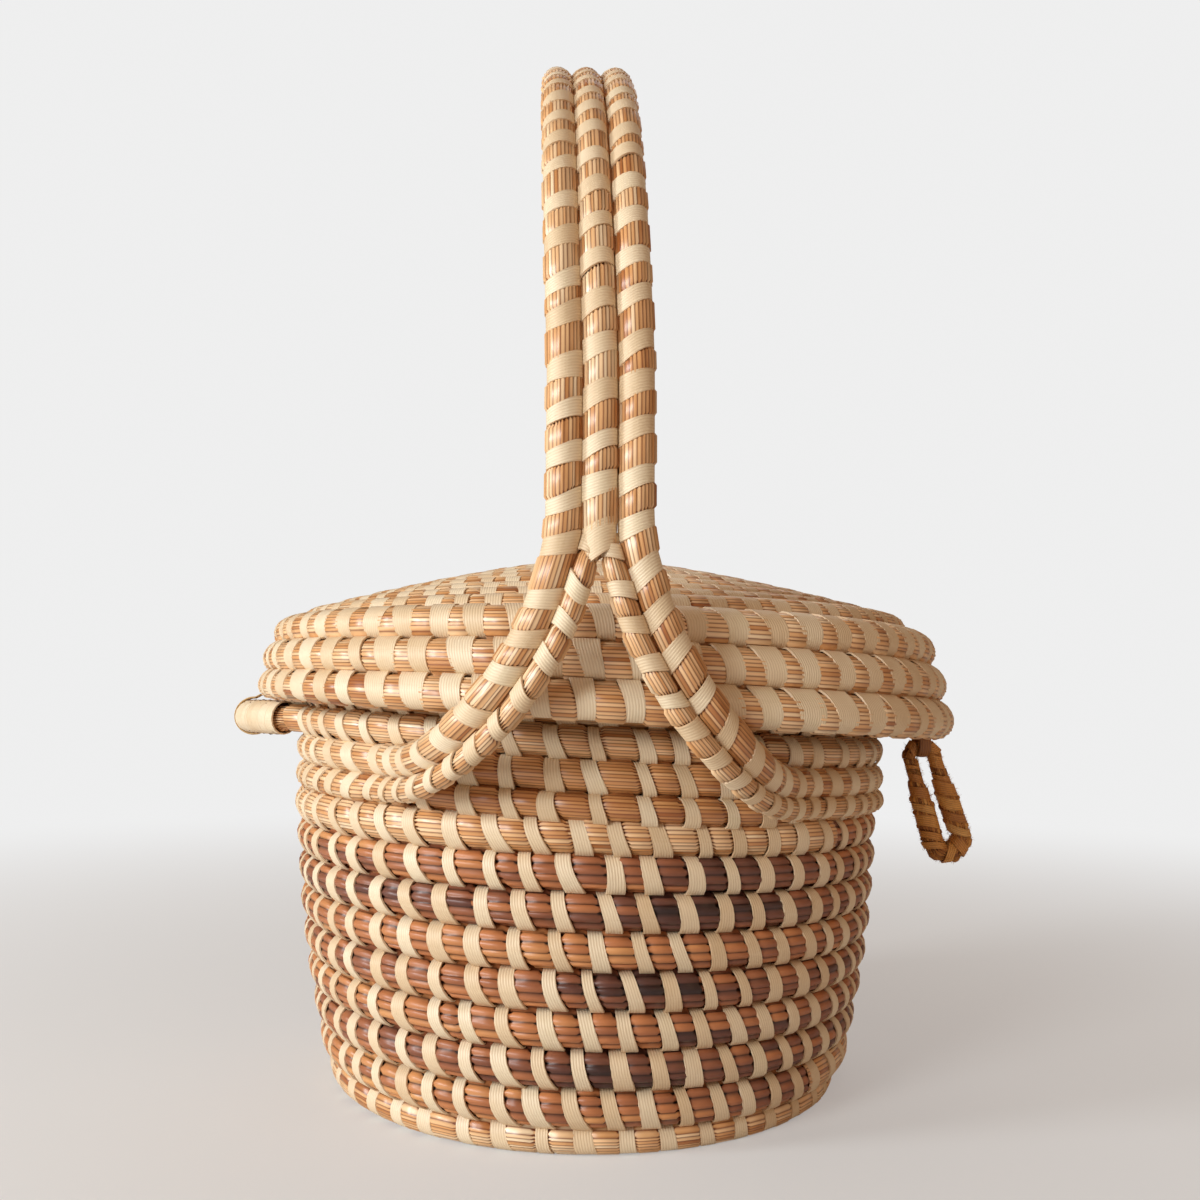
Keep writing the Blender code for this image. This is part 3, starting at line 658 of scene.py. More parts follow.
def knot(name, node, body, middle, outside, shift, seed):
    """The starting ring, bound all over."""
    ring = KNOT_TURN_SHARE * KNOT_RADIUS
    angle = np.linspace(0, FULL_TURN, STEPS + 1)
    places = around(angle) * ring + (shift, 0, middle)
    course = Course(places, np.full(len(angle), ring * KNOT_FILL), [[0, 0, outside]] * len(angle), 1)
    marks = (np.arange(KNOT_STRIPS) + 0.5) * course.length / KNOT_STRIPS
    grass = bundle(f"{name}_grass", course, marks, sweetgrass, seed, KNOT_BLADES, BLADE_GROOVE, 0,
                   grass_tone, bound=KNOT_BOUND)
    sewing = strips(f"{name}_strips", course, marks, palm_strip, seed + 1, KNOT_STRIP_WIDTH, KNOT_SLANT, 0)
    fit(grass, body, node)
    fit(sewing, body)


knot("base_knot", "base_start_knot", "basket", KNOT_RADIUS / 2, -1, 0, 21)

# Bulrush rows of the wall
# Thick round stems, four or five showing on each row, red-brown to orange with some nearly black.
# The strips lie wider apart here and lean to the right as they go down.
BULRUSH_STEMS, BULRUSH_SIDES = 11, 4
BULRUSH_GROOVE = 0.00066
LASTING_STITCHES = 4
WALL_STITCHES_PER_TURN = 53.15
TURN_STRAY = 0.05
WALL_STRIP_WIDTH = 0.0047
WALL_SLANT = 0.31

BULRUSH_SHADES = (
    ((0.06, 0.50), (0.13, 0.60), (0.20, 0.80), (0.5, 0.6), (0.8, 0.5)),
    ((0.06, 0.36), (0.12, 0.14), (0.17, 0.44), (0.5, 0.55), (0.8, 0.5)),
    ((0.06, 0.52), (0.13, 0.56), (0.20, 0.68), (0.5, 0.5), (0.8, 0.55)),
    ((0.06, 0.32), (0.115, 0.12), (0.15, 0.50), (0.5, 0.6), (0.8, 0.45)),
    ((0.06, 0.56), (0.13, 0.74), (0.20, 0.70), (0.5, 0.5), (0.8, 0.6)),
    ((0.04, 0.30), (0.095, 0.12), (0.14, 0.42), (0.5, 0.5), (0.8, 0.5)),
    ((0.03, 0.40), (0.080, 0.22), (0.12, 0.56), (0.5, 0.6), (0.8, 0.5)))

bulrush = stem_finish(
    "bulrush", ((0, 50, 30, 27), (0.2, 98, 58, 46), (0.42, 150, 90, 60), (0.66, 187, 118, 72),
                (1, 216, 156, 98)), (40, 16, 8), 420, 0.42, 0.9)


def bulrush_tone(rng, marks, stems):
    """A shade for each row, dark in places, from which its stems differ."""
    table = [(turn + place, shade) for turn, row in enumerate(BULRUSH_SHADES) for place, shade in row]
    turns = np.interp(marks, bulrush_course.marks, np.linspace(0, BULRUSH_TURNS, len(bulrush_course.marks)))
    row = between(table, turns)
    lasting = rng.normal(0, 0.12, (len(marks) // LASTING_STITCHES + 1, stems))
    lasting = np.repeat(lasting, LASTING_STITCHES, 0)[:len(marks)]
    return np.clip(row[:, None] + lasting + rng.normal(0, 0.05, (len(marks), stems)), 0, 1)


def turn_marks(course, end, start, per_turn, seed):
    """Strips at even angles round a winding, so that those of one row chain onto the next."""
    wanted = (end - start) / STEPS * per_turn
    count = int(wanted)
    places = (np.arange(count) + 0.5 + np.random.default_rng(seed).normal(0, TURN_STRAY, count)) / wanted
    return np.interp(places, np.linspace(0, 1, len(course.marks)), course.marks)


bulrush_course = wound(wall, base_cut, grass_cut, 1, base_height)
marks = turn_marks(bulrush_course, grass_cut, base_cut, WALL_STITCHES_PER_TURN, 31)
bulrush_stems = bundle("bulrush_wall_stems", bulrush_course, marks, bulrush, 32, BULRUSH_STEMS,
                       BULRUSH_GROOVE, WALL_SLANT, bulrush_tone, BULRUSH_SIDES)
bulrush_strips = strips("bulrush_wall_strips", bulrush_course, marks, palm_strip, 33, WALL_STRIP_WIDTH,
                        WALL_SLANT, BITE)
fit(bulrush_stems, "basket", "bulrush_wall_coil")
fit(bulrush_strips, "basket")

# Sweetgrass row above the bulrush
# The coil goes on in light sweetgrass, thins out below the handle's rows and ends there.
GRASS_SWELL = 0.0006
GRASS_LEAST = 0.0026

course = wound(wall, grass_cut, len(wall) - 1, 1, base_height)
course.radii = np.maximum(course.radii + GRASS_SWELL, GRASS_LEAST)
course.places = course.places + (0, 0, GRASS_SWELL / 2)
marks = turn_marks(course, len(wall) - 1, grass_cut, WALL_STITCHES_PER_TURN, 41)
sew("wall", "sweetgrass_wall_coil", "basket", course, marks, 41, WALL_SLANT, WALL_STRIP_WIDTH)

# Side coils of the handle
# Each is one long sweetgrass coil that comes down the front, sweeps round its own side of the
# wall as a row, climbs the back and arches over. It is wrapped all the way with palm strips.
HANDLE_LEG_HEIGHT = 0.215
HANDLE_LEAN_SHARE = 0.034
FORK_HEIGHT = 0.178
MERGE_ANGLE = math.radians(40)
ARCH_POINTS = 64
LEG_POINTS = 48
SIDE_POINTS = 48
HANDLE_PITCH = 0.0119
HANDLE_STRIP_WIDTH = 0.0056
HANDLE_BLADES = 24
HANDLE_GROOVE = 0.00045
HANDLE_SLANT = 0.40
HANDLE_BITE = 0.0006
HANDLE_STRAY = 0.07
LEG_SHARES = (
    (-0.16, 0.0, 0.0), (0.0, 0.0, 0.0), (0.16, 0.014, 0.0), (0.42, 0.086, 0.02),
    (0.64, 0.197, 0.06), (0.75, 0.278, 0.11), (0.865, 0.40, 0.27), (0.955, 0.57, 0.54),
    (0.993, 0.77, 0.83), (1.0, 1.0, 1.0), (1.0, 1.23, 1.0),
)

leg_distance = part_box("handle_middle_coil")[1].y - HANDLE_RADIUS
leg_spacing = 2 * HANDLE_RADIUS + SEAT_GAP


def smooth_row(table, where):
    """Row of a table at a fractional place, on a smooth curve through its inner rows."""
    first = min(int(where), len(table) - 4)
    part = where - first
    a, b, c, d = (np.array(table[first + k]) for k in range(4))
    return b + 0.5 * part * (c - a + part * (2 * a - 5 * b + 4 * c - d + part * (3 * (b - c) + d - a)))


def ring_point(distance, angle, height, slope=0):
    """Point on a ring round the axis, whose height falls towards +X by the slope."""
    across = distance * math.cos(angle)
    return np.array([across, distance * math.sin(angle), height - slope * across])


def leg_point(where, side, end):
    """Point of a side coil on its way from the fork down and round to its row of the wall."""
    drop, turn, inward = smooth_row(LEG_SHARES, where)
    first_angle = math.asin(leg_spacing / leg_distance)
    angle = first_angle + turn * (MERGE_ANGLE - first_angle)
    distance = leg_distance - inward * (leg_distance - handle_row_distance)
    across = side * distance * math.sin(angle)
    fall = FORK_HEIGHT - handle_row_height + SHOULDER_SLOPE_SHARE * across
    return np.array([across, end * distance * math.cos(angle), FORK_HEIGHT - drop * fall])


def leg_way(side, end):
    last = len(LEG_SHARES) - 3
    return [leg_point(last * k / LEG_POINTS, side, end) for k in range(LEG_POINTS + 1)]


def arch(across, foot):
    """Half circle with straight legs down to a foot, leaning a little towards the hinge."""
    near = [np.array([across, -leg_distance, foot + (HANDLE_LEG_HEIGHT - foot) * share])
            for share in (0, 0.25, 0.5, 0.75, 1)]
    over = []
    for turned in HALF_TURN * np.arange(1, ARCH_POINTS) / ARCH_POINTS:
        rise = leg_distance * math.sin(turned)
        over.append(np.array([across - HANDLE_LEAN_SHARE * rise, -leg_distance * math.cos(turned),
                              HANDLE_LEG_HEIGHT + rise]))
    return near + over + [point * (1, -1, 1) for point in reversed(near)]


def side_row(side):
    half = QUARTER_TURN - MERGE_ANGLE
    return [ring_point(side * handle_row_distance, side * half * (2 * k / SIDE_POINTS - 1),
                       handle_row_height, SHOULDER_SLOPE_SHARE) for k in range(1, SIDE_POINTS)]


def handle_outward(points):
    """Away from the arch's middle above the legs, and away from the basket's axis below."""
    points = np.array(points)
    over = np.clip((points[:, 2] - HANDLE_LEG_HEIGHT) / leg_distance, 0, None)
    flat = unit(points * (1, 1, 0))
    arched = unit(np.stack([0 * over, points[:, 1], points[:, 2] - HANDLE_LEG_HEIGHT], 1))
    return np.where(over[:, None] > 0, arched, flat)


for side, word, seed in ((-1, "left", 51), (1, "right", 61)):
    near, far, row = leg_way(side, -1), leg_way(side, 1), side_row(side)
    half = len(row) // 2
    over = arch(side * leg_spacing, FORK_HEIGHT)[1:-1]
    line = row[:half + 1][::-1] + near[::-1] + over + far + row[half:][::-1]
    course = Course(line, [HANDLE_RADIUS] * len(line), handle_outward(line), side)
    marks = stitch_marks(course, HANDLE_PITCH, seed, HANDLE_STRAY)
    sew(f"handle_{word}", f"handle_{word}_coil", "basket", course, marks, seed, side * HANDLE_SLANT,
        HANDLE_STRIP_WIDTH, HANDLE_BITE, HANDLE_BLADES, HANDLE_GROOVE)

# Middle coil of the handle and its strands
# The middle coil is parted in two at each foot, and each half goes on as a thin strand that lies
# under its side coil, round the wall and up to the other foot.
STRAND_TOP_RADIUS = 0.0025
STRAND_TOP_DROP = 0.0127
FORK_TAPER = ((0, 0.88), (0.010, 1))
STRAND_RISE = 0.007
STRAND_JOIN_SHARE = 0.42
STRAND_PITCH = 0.0102
STRAND_BLADES = 18
STRAND_STRIP_WIDTH = 0.0047
MIDDLE_GAP = 0.001
FORK_BINDING = 0.004
FORK_STRIP_WIDTH = 0.0085
FORK_SLANT = 0.6

strand_top_height = FORK_HEIGHT - STRAND_TOP_DROP


def strand_line(side):
    line = leg_way(side, -1) + side_row(side) + leg_way(side, 1)[::-1]
    points = []
    for before, here, after in zip(line, line[1:], line[2:]):
        along = unit(after - before)
        outward = unit(here * (1, 1, 0))
        below = side * unit(np.cross(along, outward))
        radius = strand_radius(here[0])
        points.append(here + strand_drop(radius) * below + (HANDLE_RADIUS - radius) * outward)
    return [point for point in points if point[2] < strand_top_height]


for side, word, seed in ((-1, "left", 71), (1, "right", 81)):
    line = strand_line(side)
    tops = [line[0], line[-1]]
    near_top, far_top = (top * (STRAND_JOIN_SHARE, 0, 0) + (0, math.copysign(leg_distance, top[1]),
                         strand_top_height + STRAND_RISE) for top in tops)
    line = [near_top] + line[1:-1] + [far_top]
    radii = np.array([strand_radius(point[0]) for point in line])
    radii[[0, 1, -2, -1]] = STRAND_TOP_RADIUS
    course = Course(line, radii, handle_outward(line), side)
    marks = stitch_marks(course, STRAND_PITCH, seed, HANDLE_STRAY)
    sew(f"handle_{word}_strand", f"handle_{word}_strand", "basket", course, marks, seed,
        -side * HANDLE_SLANT, STRAND_STRIP_WIDTH, HANDLE_BITE, STRAND_BLADES, HANDLE_GROOVE)

line = arch(0, strand_top_height + MIDDLE_GAP)
heights = np.array(line)[:, 2] - strand_top_height
course = Course(line, HANDLE_RADIUS * between(FORK_TAPER, heights), handle_outward(line), 1)
marks = stitch_marks(course, HANDLE_PITCH, 91, HANDLE_STRAY)
marks[[0, -1]] = FORK_BINDING, course.length - FORK_BINDING
sew("handle_middle", "handle_middle_coil", "basket", course, marks, 91, HANDLE_SLANT, HANDLE_STRIP_WIDTH,
    HANDLE_BITE, HANDLE_BLADES, HANDLE_GROOVE, sewn=slice(1, -1))
fork_strips = strips("fork_strips", course, marks[[0, -1]], palm_strip, 94, FORK_STRIP_WIDTH, FORK_SLANT,
                     HANDLE_BITE)
fit(fork_strips, "basket")

# Short rows between the handle's feet
# Two rows, a thin one and a thick one, fill the wall between the legs on the front and the back,
# and run out to nothing behind them, along the wall's inner side.
GAP_ROW_ANGLE = math.radians(39)
GAP_ROW_TAPER = ((0.68, 1), (0.85, 0.72), (1, 0.3))
GAP_POINTS = 40
GAP_PITCH = 0.0125
GAP_ROW_SWELL = 0.0006
GAP_TONE_AND_SHADE_SHARE = 0.45


def shaded_gap_tone(rng, marks, stems):
    """Browner blades than elsewhere, darkened further as painted shade from the handle and the lid over these
    rows.
    """
    return grass_tone(rng, marks, stems) * GAP_TONE_AND_SHADE_SHARE


def gap_course(end, radius, height):
    shares = np.linspace(-1, 1, GAP_POINTS + 1)
    radii = radius * between(GAP_ROW_TAPER, abs(shares))
    places = np.array([ring_point(shoulder_distance - 2 * radius + thinned,
                                  end * QUARTER_TURN + share * GAP_ROW_ANGLE, height, SHOULDER_SLOPE_SHARE)
                       for share, thinned in zip(shares, radii)])
    return Course(places, radii, places * (1, 1, 0), -1)


for end, word, seed in ((-1, "near", 101), (1, "far", 121)):
    for level, height, radius in (("lower", strand_row_height, STRAND_RADIUS),
                                  ("upper", handle_row_height, HANDLE_RADIUS)):
        course = gap_course(end, radius, height)
        if level == "lower":
            course.radii = course.radii + GAP_ROW_SWELL
            course.places = course.places - (0, 0, GAP_ROW_SWELL)
        sew(f"{level}_gap_{word}", f"{level}_gap_row_{word}", "basket", course,
            stitch_marks(course, GAP_PITCH, seed), seed, -WALL_SLANT, WALL_STRIP_WIDTH,
            blades=round(BLADES * radius / HANDLE_RADIUS), tone=shaded_gap_tone)
        seed += 5

# Rim row and hinge loop
# The rim's row leaves the wall on the left and comes back, and the bow that it makes is bound
# closely with palm strip into a thick loop. The lid hangs on it.
RIM_RADIUS = 0.0043
HINGE_LOOP_RADIUS = 0.0059
HINGE_DROP = 0.001
BULGE_ANGLE = math.radians(24)
MOUTH_ANGLE = math.radians(14.5)
MOUTH_GAP = 0.0012
RIM_PITCH = 0.0122
HINGE_PITCH = 0.0036
HINGE_STRIP_WIDTH = 0.0052
HINGE_SLANT, HINGE_UNEVEN = 0.12, 0.05
HINGE_POINTS = 60
CORE_SHARE, CORE_BOUND = 0.93, 0.0012
RIM_ENTRY_ANGLE = math.radians(2)
RIM_POINTS = 200

rim_height = handle_row_height + HANDLE_RADIUS + ROW_GAP + RIM_RADIUS
rim_distance = shoulder_distance - RIM_RADIUS
rim_top = rim_height + RIM_RADIUS
lid_hinge = next(joint for joint in frame["joints"] if joint["name"] == "lid_hinge")
hinge_place = np.array(lid_hinge["pos_m"])
hinge_reach = -hinge_place[0] - rim_distance


def rim_point(angle):
    off = math.remainder(angle - HALF_TURN, FULL_TURN) / BULGE_ANGLE
    bulge = (1 + math.cos(HALF_TURN * off)) / 2 if abs(off) < 1 else 0
    return ring_point(rim_distance + bulge * hinge_reach, angle, rim_height - bulge * HINGE_DROP,
                      SHOULDER_SLOPE_SHARE)


def rim_course(start, end, radius, points):
    places = np.array([rim_point(start + (end - start) * k / points) for k in range(points + 1)])
    return Course(places, np.full(points + 1, radius), places * (1, 1, 0), -1)


rim_start = HALF_TURN + MOUTH_ANGLE - RIM_ENTRY_ANGLE
course = rim_course(rim_start, 2 * FULL_TURN - rim_start, RIM_RADIUS, RIM_POINTS)
marks = stitch_marks(course, RIM_PITCH, 141)
sew("rim", "rim_coil", "basket", course, marks, 141, -WALL_SLANT, WALL_STRIP_WIDTH, sewn=slice(1, -1))

# The loop's core is coloured dark red-brown as painted shadow, so the mouth looks deep where the rim's row
# enters it.
mouth_painted_shadow = stem_finish(
    "mouth_painted_shadow", ((0, 60, 24, 16), (0.5, 104, 46, 28), (0.8, 140, 72, 40), (1, 176, 104, 60)),
    (44, 18, 12), 1200, 0.6, 0.8)
loop_half_angle = MOUTH_ANGLE - MOUTH_GAP / rim_distance
course = rim_course(HALF_TURN - loop_half_angle, HALF_TURN + loop_half_angle, HINGE_LOOP_RADIUS,
                    HINGE_POINTS)
marks = (np.arange(round(course.length / HINGE_PITCH)) + 0.5) * HINGE_PITCH
marks = marks * course.length / (len(marks) * HINGE_PITCH)
core = Course(course.places[1:-1], course.radii[1:-1] * CORE_SHARE, course.outward[1:-1], -1)
hinge_core = bundle("hinge_loop_core", core, marks[1:-1], mouth_painted_shadow, 151, BLADES, BLADE_GROOVE, 0,
                    grass_tone, bound=CORE_BOUND)
hinge_strips = strips("hinge_loop_strips", course, marks, palm_strip, 152, HINGE_STRIP_WIDTH, HINGE_SLANT,
                      0, HINGE_UNEVEN)
fit(hinge_core, "basket")
fit(hinge_strips, "basket", "hinge_loop")

# Neck inside the lid
# The wall's last rows go on up inside the lid, which closes over them.
NECK_RADIUS = 0.0045
NECK_INSET = 0.0012
NECK_TURNS = 3
NECK_STEPS = 20
NECK_PITCH = 0.0125


def neck_rows():
    """Rows of the neck's coil, thinned at both ends so that it is level."""
    rows = []
    distance = rim_distance - NECK_INSET
    for step in range(NECK_TURNS * NECK_STEPS + 1):
        turn = step / NECK_STEPS
        angle = QUARTER_TURN - FULL_TURN * turn
        radius = between(((0, TAIL_RADIUS), (1, NECK_RADIUS), (NECK_TURNS - 1, NECK_RADIUS),
                          (NECK_TURNS, TAIL_RADIUS)), turn)
        if turn < 1:
            under = rim_top - SHOULDER_SLOPE_SHARE * distance * math.cos(angle)
        else:
            under = rows[step - NECK_STEPS][2] + rows[step - NECK_STEPS][3]
        rows.append((angle, distance, under + ROW_GAP + radius, radius, QUARTER_TURN))
    return np.array(rows)


rows = neck_rows()
course = wound(rows, 0, len(rows) - 1, 1)
sew("neck", "neck_coil", "basket", course, stitch_marks(course, NECK_PITCH, 161), 161, WALL_SLANT,
    WALL_STRIP_WIDTH)

# Lid
# A low dome wound outwards from its knot, then three steep rows that hang over the wall, thicker
# towards the latch. The strips lie close together, so that little grass shows on the dome.
LID_SHIFT = 0.002
LID_LIFT = 0.0014
LID_EDGE_OUTSET = 0.0063
LID_TOP_TURNS = 10.2
SKIRT_RADIUS = 0.0052
SKIRT_TURNS = 4
LATCH_SIDE_SHARE = 0.13
SKIRT_FALL_SHARE = 1.28
LID_LEAN = ((0, -9), (5, -13), (9.2, -16), (10.2, -20), (10.45, -26), (10.7, -42), (11.2, -68), (12.2, -79))
DOME_PITCH = 0.0102
DOME_STRIP_WIDTH = 0.0062
SKIRT_STITCHES_PER_TURN = 61.2
SKIRT_STRIP_WIDTH = 0.0067
LATCH_SIDE_WIDER = 0.35
SKIRT_TAIL, SKIRT_TAIL_SHARE = 0.035, 0.3
LID_SLANT = 0.26

dome_cosine = math.cos(math.radians(LID_LEAN[1][1]))
lid_edge_distance = shoulder_distance + LID_EDGE_OUTSET
lid_radius = ((lid_edge_distance - KNOT_RADIUS - SEAT_GAP - LID_TOP_TURNS * ROW_GAP * dome_cosine)
              / (1 + 2 * LID_TOP_TURNS * dome_cosine))
lid_turns = LID_TOP_TURNS + SKIRT_TURNS
lid_start_angle = HALF_TURN - FULL_TURN * (LID_TOP_TURNS % 1)


def lid_coil_radius(turn, angle):
    thickness = between(((LID_TOP_TURNS - 1, lid_radius), (LID_TOP_TURNS, SKIRT_RADIUS)), turn)
    swell = LATCH_SIDE_SHARE * math.cos(angle) * min(max(turn - LID_TOP_TURNS + 1, 0), 1)
    return thickness * (1 + swell)


def lid_rows(room=None):
    return wind(lid_radius, lid_start_angle, 1, lid_turns, lid_coil_radius, LID_LEAN, room)


low_row = near_side(lid_rows(), LID_TOP_TURNS + 2, FRONT_ANGLE)
lid_lift = rim_top + LID_LIFT - low_row[2] + low_row[3]
skirt_slope = SKIRT_FALL_SHARE * SKIRT_RADIUS / low_row[1]


def lid_room(before, angle):
    """Half of what is left between a turn's underside and the plane of the lid's edge."""
    edge = low_row[2] - low_row[3] - skirt_slope * before[1] * math.cos(angle)
    return (before[2] - before[3] - edge - ROW_GAP) / 2


lid_coil = lid_rows(lid_room)
lid_coil = lid_coil[lid_coil[:, 3] > TAIL_RADIUS]
skirt_cut = round(LID_TOP_TURNS * STEPS) + 0.5
knot("lid_knot", "lid_start_knot", "lid", lid_lift, 1, LID_SHIFT, 171)
course = wound(led_in(lid_coil, 1), 0, skirt_cut + STEPS - LEAD_FIRST, -1, lid_lift, LID_SHIFT)
sew("lid_top", "lid_top_coil", "lid", course, stitch_marks(course, DOME_PITCH, 181), 181, LID_SLANT,
    DOME_STRIP_WIDTH)
course = wound(lid_coil, skirt_cut, len(lid_coil) - 1, -1, lid_lift, LID_SHIFT)
tail = np.clip((course.length - course.marks) / SKIRT_TAIL, SKIRT_TAIL_SHARE, 1)
course.places = course.places + (0, 0, 1) * (course.radii * (1 - tail))[:, None]
course.radii = course.radii * tail
marks = turn_marks(course, len(lid_coil) - 1, skirt_cut, SKIRT_STITCHES_PER_TURN, 191)
across = np.clip(course.at(marks)[0][:, 0] / lid_edge_distance, 0, 1)
sew("lid_skirt", "lid_skirt_coil", "lid", course, marks, 191, LID_SLANT,
    SKIRT_STRIP_WIDTH * (1 + LATCH_SIDE_WIDER * across))

# Hinge tie and latch tie
# Flat palm strips. One is knotted round the hinge loop and the lid's lowest row, the other is a
# staple under the lid's edge that the latch loop swings in, coloured dark brown as painted shade.
TIE_RADIUS = 0.0014
TIE_OPENING = math.radians(48)
TIE_WIDTH_SHARE = 1.6
TIE_THICKNESS_SHARE = 0.3
TIE_SNUG = 0.0013
TIE_SIDES, TIE_FINER = 10, 4
LATCH_EYE_RADIUS = 0.0044
LATCH_TOP_RADIUS = 0.0026
LOOP_POINTS = 8

tie_strip = leaf_finish(
    "tie_strip", ((0, 206, 170, 116), (0.5, 222, 192, 140), (0.8, 232, 208, 160), (1, 224, 200, 150)),
    (150, 104, 60), 0.5, 0.5)
# The staple's strip is dark brown as painted shade, for it sits under the lid's edge.
latch_tie_painted_shade = leaf_finish(
    "latch_tie_painted_shade", ((0, 140, 88, 44), (0.5, 172, 116, 62), (1, 190, 136, 80)), (90, 52, 26), 0.5, 0.5)


def tie(name, node, places, outward, seed, finish):
    """A flat strip on edge to what it goes round."""
    course = Course(places, [TIE_RADIUS] * len(places), outward, 1)
    marks = np.linspace(0, course.length, TIE_FINER * len(places))
    spots, radii, along, outward, onward = course.at(marks)
    profile = np.array([(math.cos(a) * TIE_WIDTH_SHARE, math.sin(a) * TIE_THICKNESS_SHARE)
                        for a in np.arange(TIE_SIDES) / TIE_SIDES * FULL_TURN])
    points = (spots[:, None] + TIE_RADIUS * (profile[None, :, :1] * onward[:, None]
                                             + profile[None, :, 1:] * outward[:, None]))
    faces = facing_out(ring_faces(len(marks), TIE_SIDES), onward, outward, along)
    made = mesh_of(name, points.reshape(-1, 3), faces, end_caps(len(marks), TIE_SIDES), finish)
    flat = 0 * marks[:, None] + profile[None, :, 0]
    note_leaf(made, marks[:, None] + 0 * flat, TIE_RADIUS * flat, seed + 0 * flat, flat / TIE_WIDTH_SHARE)
    fit(made, "lid", node)


hinge_row = near_side(lid_coil, LID_TOP_TURNS + 2, HALF_TURN)
row_place = np.array([LID_SHIFT - hinge_row[1], 0, lid_lift + hinge_row[2]])
row_angle = math.atan2(row_place[2] - hinge_place[2], row_place[0] - hinge_place[0])
tie_angles = row_angle + TIE_OPENING / 2 + (FULL_TURN - TIE_OPENING) * np.linspace(0, 1, STEPS + 1)
tie_radial = np.stack([np.cos(tie_angles), 0 * tie_angles, np.sin(tie_angles)], 1)
tie_distance = HINGE_LOOP_RADIUS + 2 * SEAT_GAP + TIE_RADIUS
tie_distance = tie_distance - TIE_SNUG * np.clip(8 * np.sin(HALF_TURN * np.linspace(0, 1, STEPS + 1)), 0, 1)
tie("hinge_tie_strip", "lid_hinge_tie", hinge_place + tie_distance[:, None] * tie_radial, tie_radial, 3.3,
    tie_strip)

latch_swing = next(joint for joint in frame["joints"] if joint["name"] == "latch_swing")
latch_place = np.array(latch_swing["pos_m"])
staple_half = LATCH_TOP_RADIUS + 2 * SEAT_GAP + TIE_RADIUS
staple_angles = np.linspace(0, HALF_TURN, 2 * LOOP_POINTS + 1)
staple_radial = np.stack([0 * staple_angles, -np.cos(staple_angles), -np.sin(staple_angles)], 1)
staple_top = latch_place + (0, 0, LATCH_EYE_RADIUS + LATCH_TOP_RADIUS)
staple_places = latch_place + (0, 0, staple_half) + staple_half * staple_radial
staple_places = np.vstack([staple_top - (0, staple_half, 0), staple_places, staple_top + (0, staple_half, 0)])
staple_outward = np.vstack([[0, -1, 0], staple_radial, [0, 1, 0]])
tie("latch_tie_strip", "latch_tie", staple_places, staple_outward, 5.1, latch_tie_painted_shade)

# Latch loop
# A long loop of coarse brown grass, bound with brown strips and fuzzy with loose fibres, which
# hangs under the lid's edge and swings on its tie.
LATCH_STRAND_RADIUS = 0.0039
LATCH_TOP_SLIM = 0.92
LATCH_LENGTH = 0.036
LATCH_HALF_WIDTH = 0.0052
LATCH_TILT = math.radians(16)
LATCH_SHARES = (0.25, 0.5)
LATCH_PITCH = 0.0052
LATCH_STRIP_WIDTH = 0.0040
LATCH_BLADES, LATCH_GROOVE = 22, 0.0004
LATCH_SLANT, LATCH_BOUND = 0.5, 0.0014
LATCH_STRAY, LATCH_UNEVEN = 0.12, 0.2
LATCH_BEND_POINTS = 20
FIBRES = 2200
FIBRE_HALF, FIBRE_DEEPER = 0.00008, 1.7
FIBRE_LENGTHS, FIBRE_TONES = (0.0007, 0.0021), (0.45, 1)
FIBRE_ROOT_SHARE = 0.95
FIBRE_OUT, FIBRE_LEAN, FIBRE_STRAY = 0.6, 0.9, 0.3

brown_grass = stem_finish(
    "brown_grass", ((0, 126, 74, 34), (0.35, 184, 118, 54), (0.65, 222, 158, 80), (1, 244, 200, 126)),
    (80, 44, 20), 900, 0.7, 0.6)
brown_strip = leaf_finish(
    "brown_strip", ((0, 164, 100, 46), (0.4, 210, 144, 70), (0.75, 230, 170, 90), (1, 220, 176, 112)),
    (104, 58, 28), 0.5, 0.4)
bottom = LATCH_LENGTH - LATCH_HALF_WIDTH
spread = LATCH_HALF_WIDTH - LATCH_EYE_RADIUS
turns = np.linspace(0, HALF_TURN, LATCH_BEND_POINTS + 1)
eye = np.stack([-LATCH_EYE_RADIUS * np.cos(turns), LATCH_EYE_RADIUS * np.sin(turns)], 1)
bend = np.stack([LATCH_HALF_WIDTH * np.cos(turns), -bottom - LATCH_HALF_WIDTH * np.sin(turns)], 1)
shares = np.linspace(0, 1, 4 * LATCH_BEND_POINTS)[1:-1]
strand = np.stack([LATCH_EYE_RADIUS + shares * spread, -shares * bottom], 1)
outline = np.vstack([eye, strand, bend, (strand * (-1, 1))[::-1], eye[:1]])
thin, thick = (share * bottom for share in LATCH_SHARES)
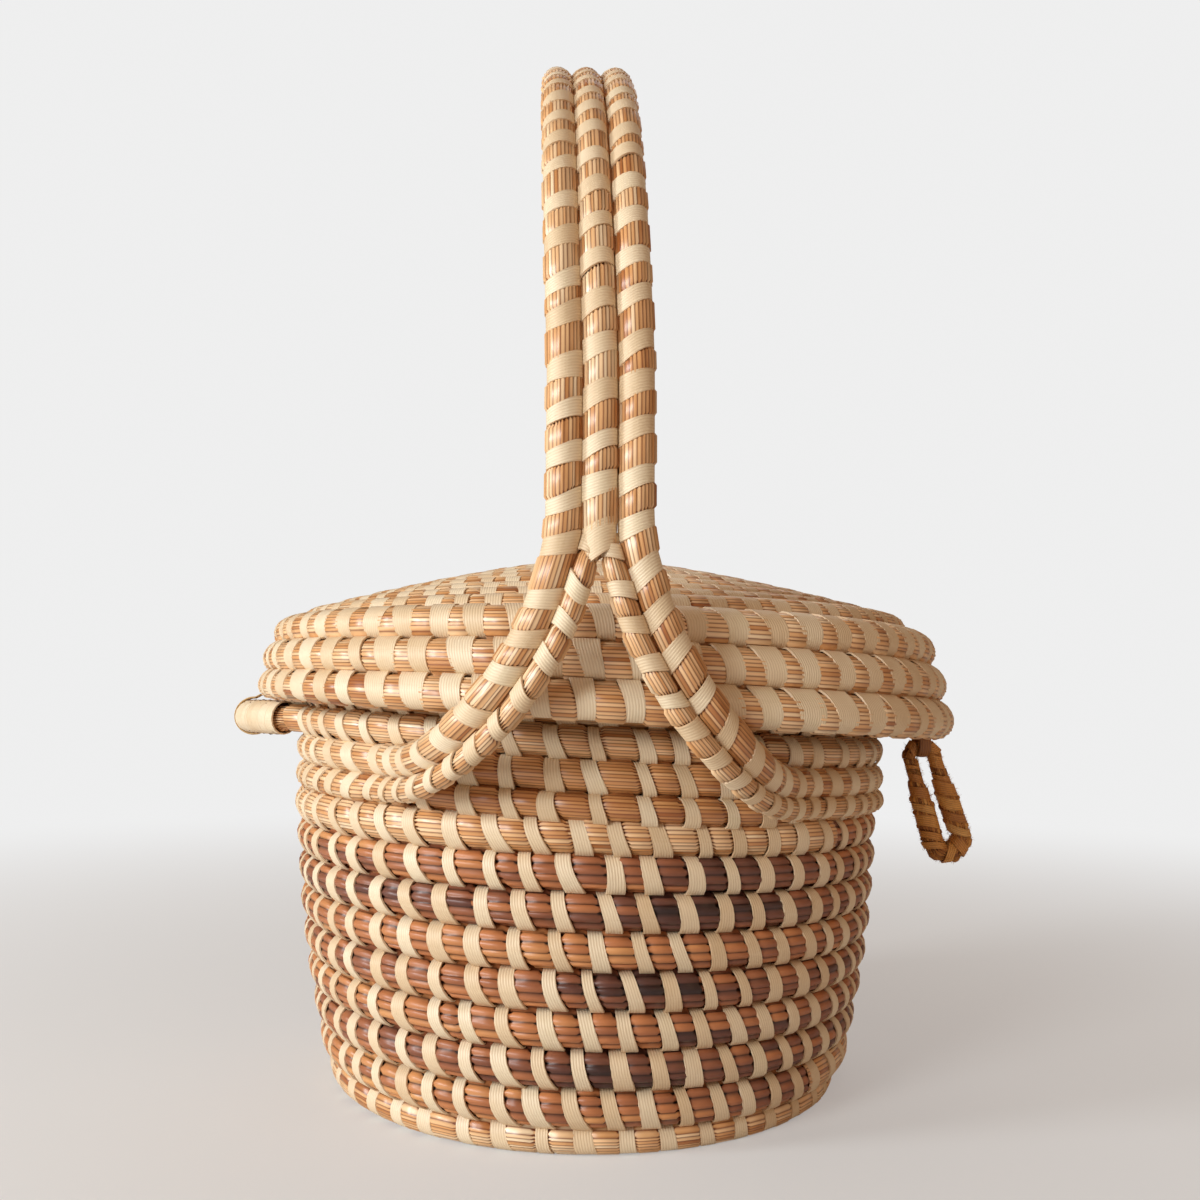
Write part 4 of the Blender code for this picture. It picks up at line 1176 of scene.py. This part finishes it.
radii = np.interp(-outline[:, 1], (thin, thick), (LATCH_TOP_SLIM * LATCH_TOP_RADIUS, LATCH_STRAND_RADIUS))
cosine, sine = math.cos(LATCH_TILT), math.sin(LATCH_TILT)
tilt = np.array([[cosine, sine], [-sine, cosine]])
swung = outline @ tilt
places = latch_place + np.stack([swung[:, 0], 0 * swung[:, 0], swung[:, 1]], 1)
course = Course(places, radii, [[0, -1, 0]] * len(places), -1)
marks = stitch_marks(course, LATCH_PITCH, 201, LATCH_STRAY)
latch_grass = bundle("latch_grass", course, marks, brown_grass, 202, LATCH_BLADES, LATCH_GROOVE,
                     LATCH_SLANT, grass_tone, bound=LATCH_BOUND)
latch_strips = strips("latch_strips", course, marks, brown_strip, 203, LATCH_STRIP_WIDTH, LATCH_SLANT, 0,
                      LATCH_UNEVEN)
rng = np.random.default_rng(204)
spots, radii, along, outward, onward = course.at(rng.uniform(0, course.length, FIBRES))
angle = rng.uniform(0, FULL_TURN, FIBRES)[:, None]
away = np.cos(angle) * outward + np.sin(angle) * onward
root = spots + away * radii[:, None] * FIBRE_ROOT_SHARE
lean = unit(away * FIBRE_OUT + along * rng.normal(0, FIBRE_LEAN, (FIBRES, 1))
            + rng.normal(0, FIBRE_STRAY, (FIBRES, 3)))
tip = root + lean * rng.uniform(*FIBRE_LENGTHS, (FIBRES, 1))
thin_side = unit(np.cross(lean, away + 0.01)) * FIBRE_HALF
other_side = unit(np.cross(lean, thin_side)) * FIBRE_HALF * FIBRE_DEEPER
points = np.stack([root - thin_side, root + thin_side, root + other_side, tip], 1).reshape(-1, 3)
one = np.array([[0, 1, 3], [1, 2, 3], [2, 0, 3], [0, 2, 1]])
faces = (one[None] + 4 * np.arange(FIBRES)[:, None, None]).reshape(-1, 3)
latch_fibres = mesh_of("latch_fibres", points, faces, [], brown_grass)
note(latch_fibres, "tone", np.repeat(rng.uniform(*FIBRE_TONES, FIBRES), 4), "FACE")
fit(latch_grass, "latch", "latch_loop")
fit(latch_strips, "latch")
fit(latch_fibres, "latch")
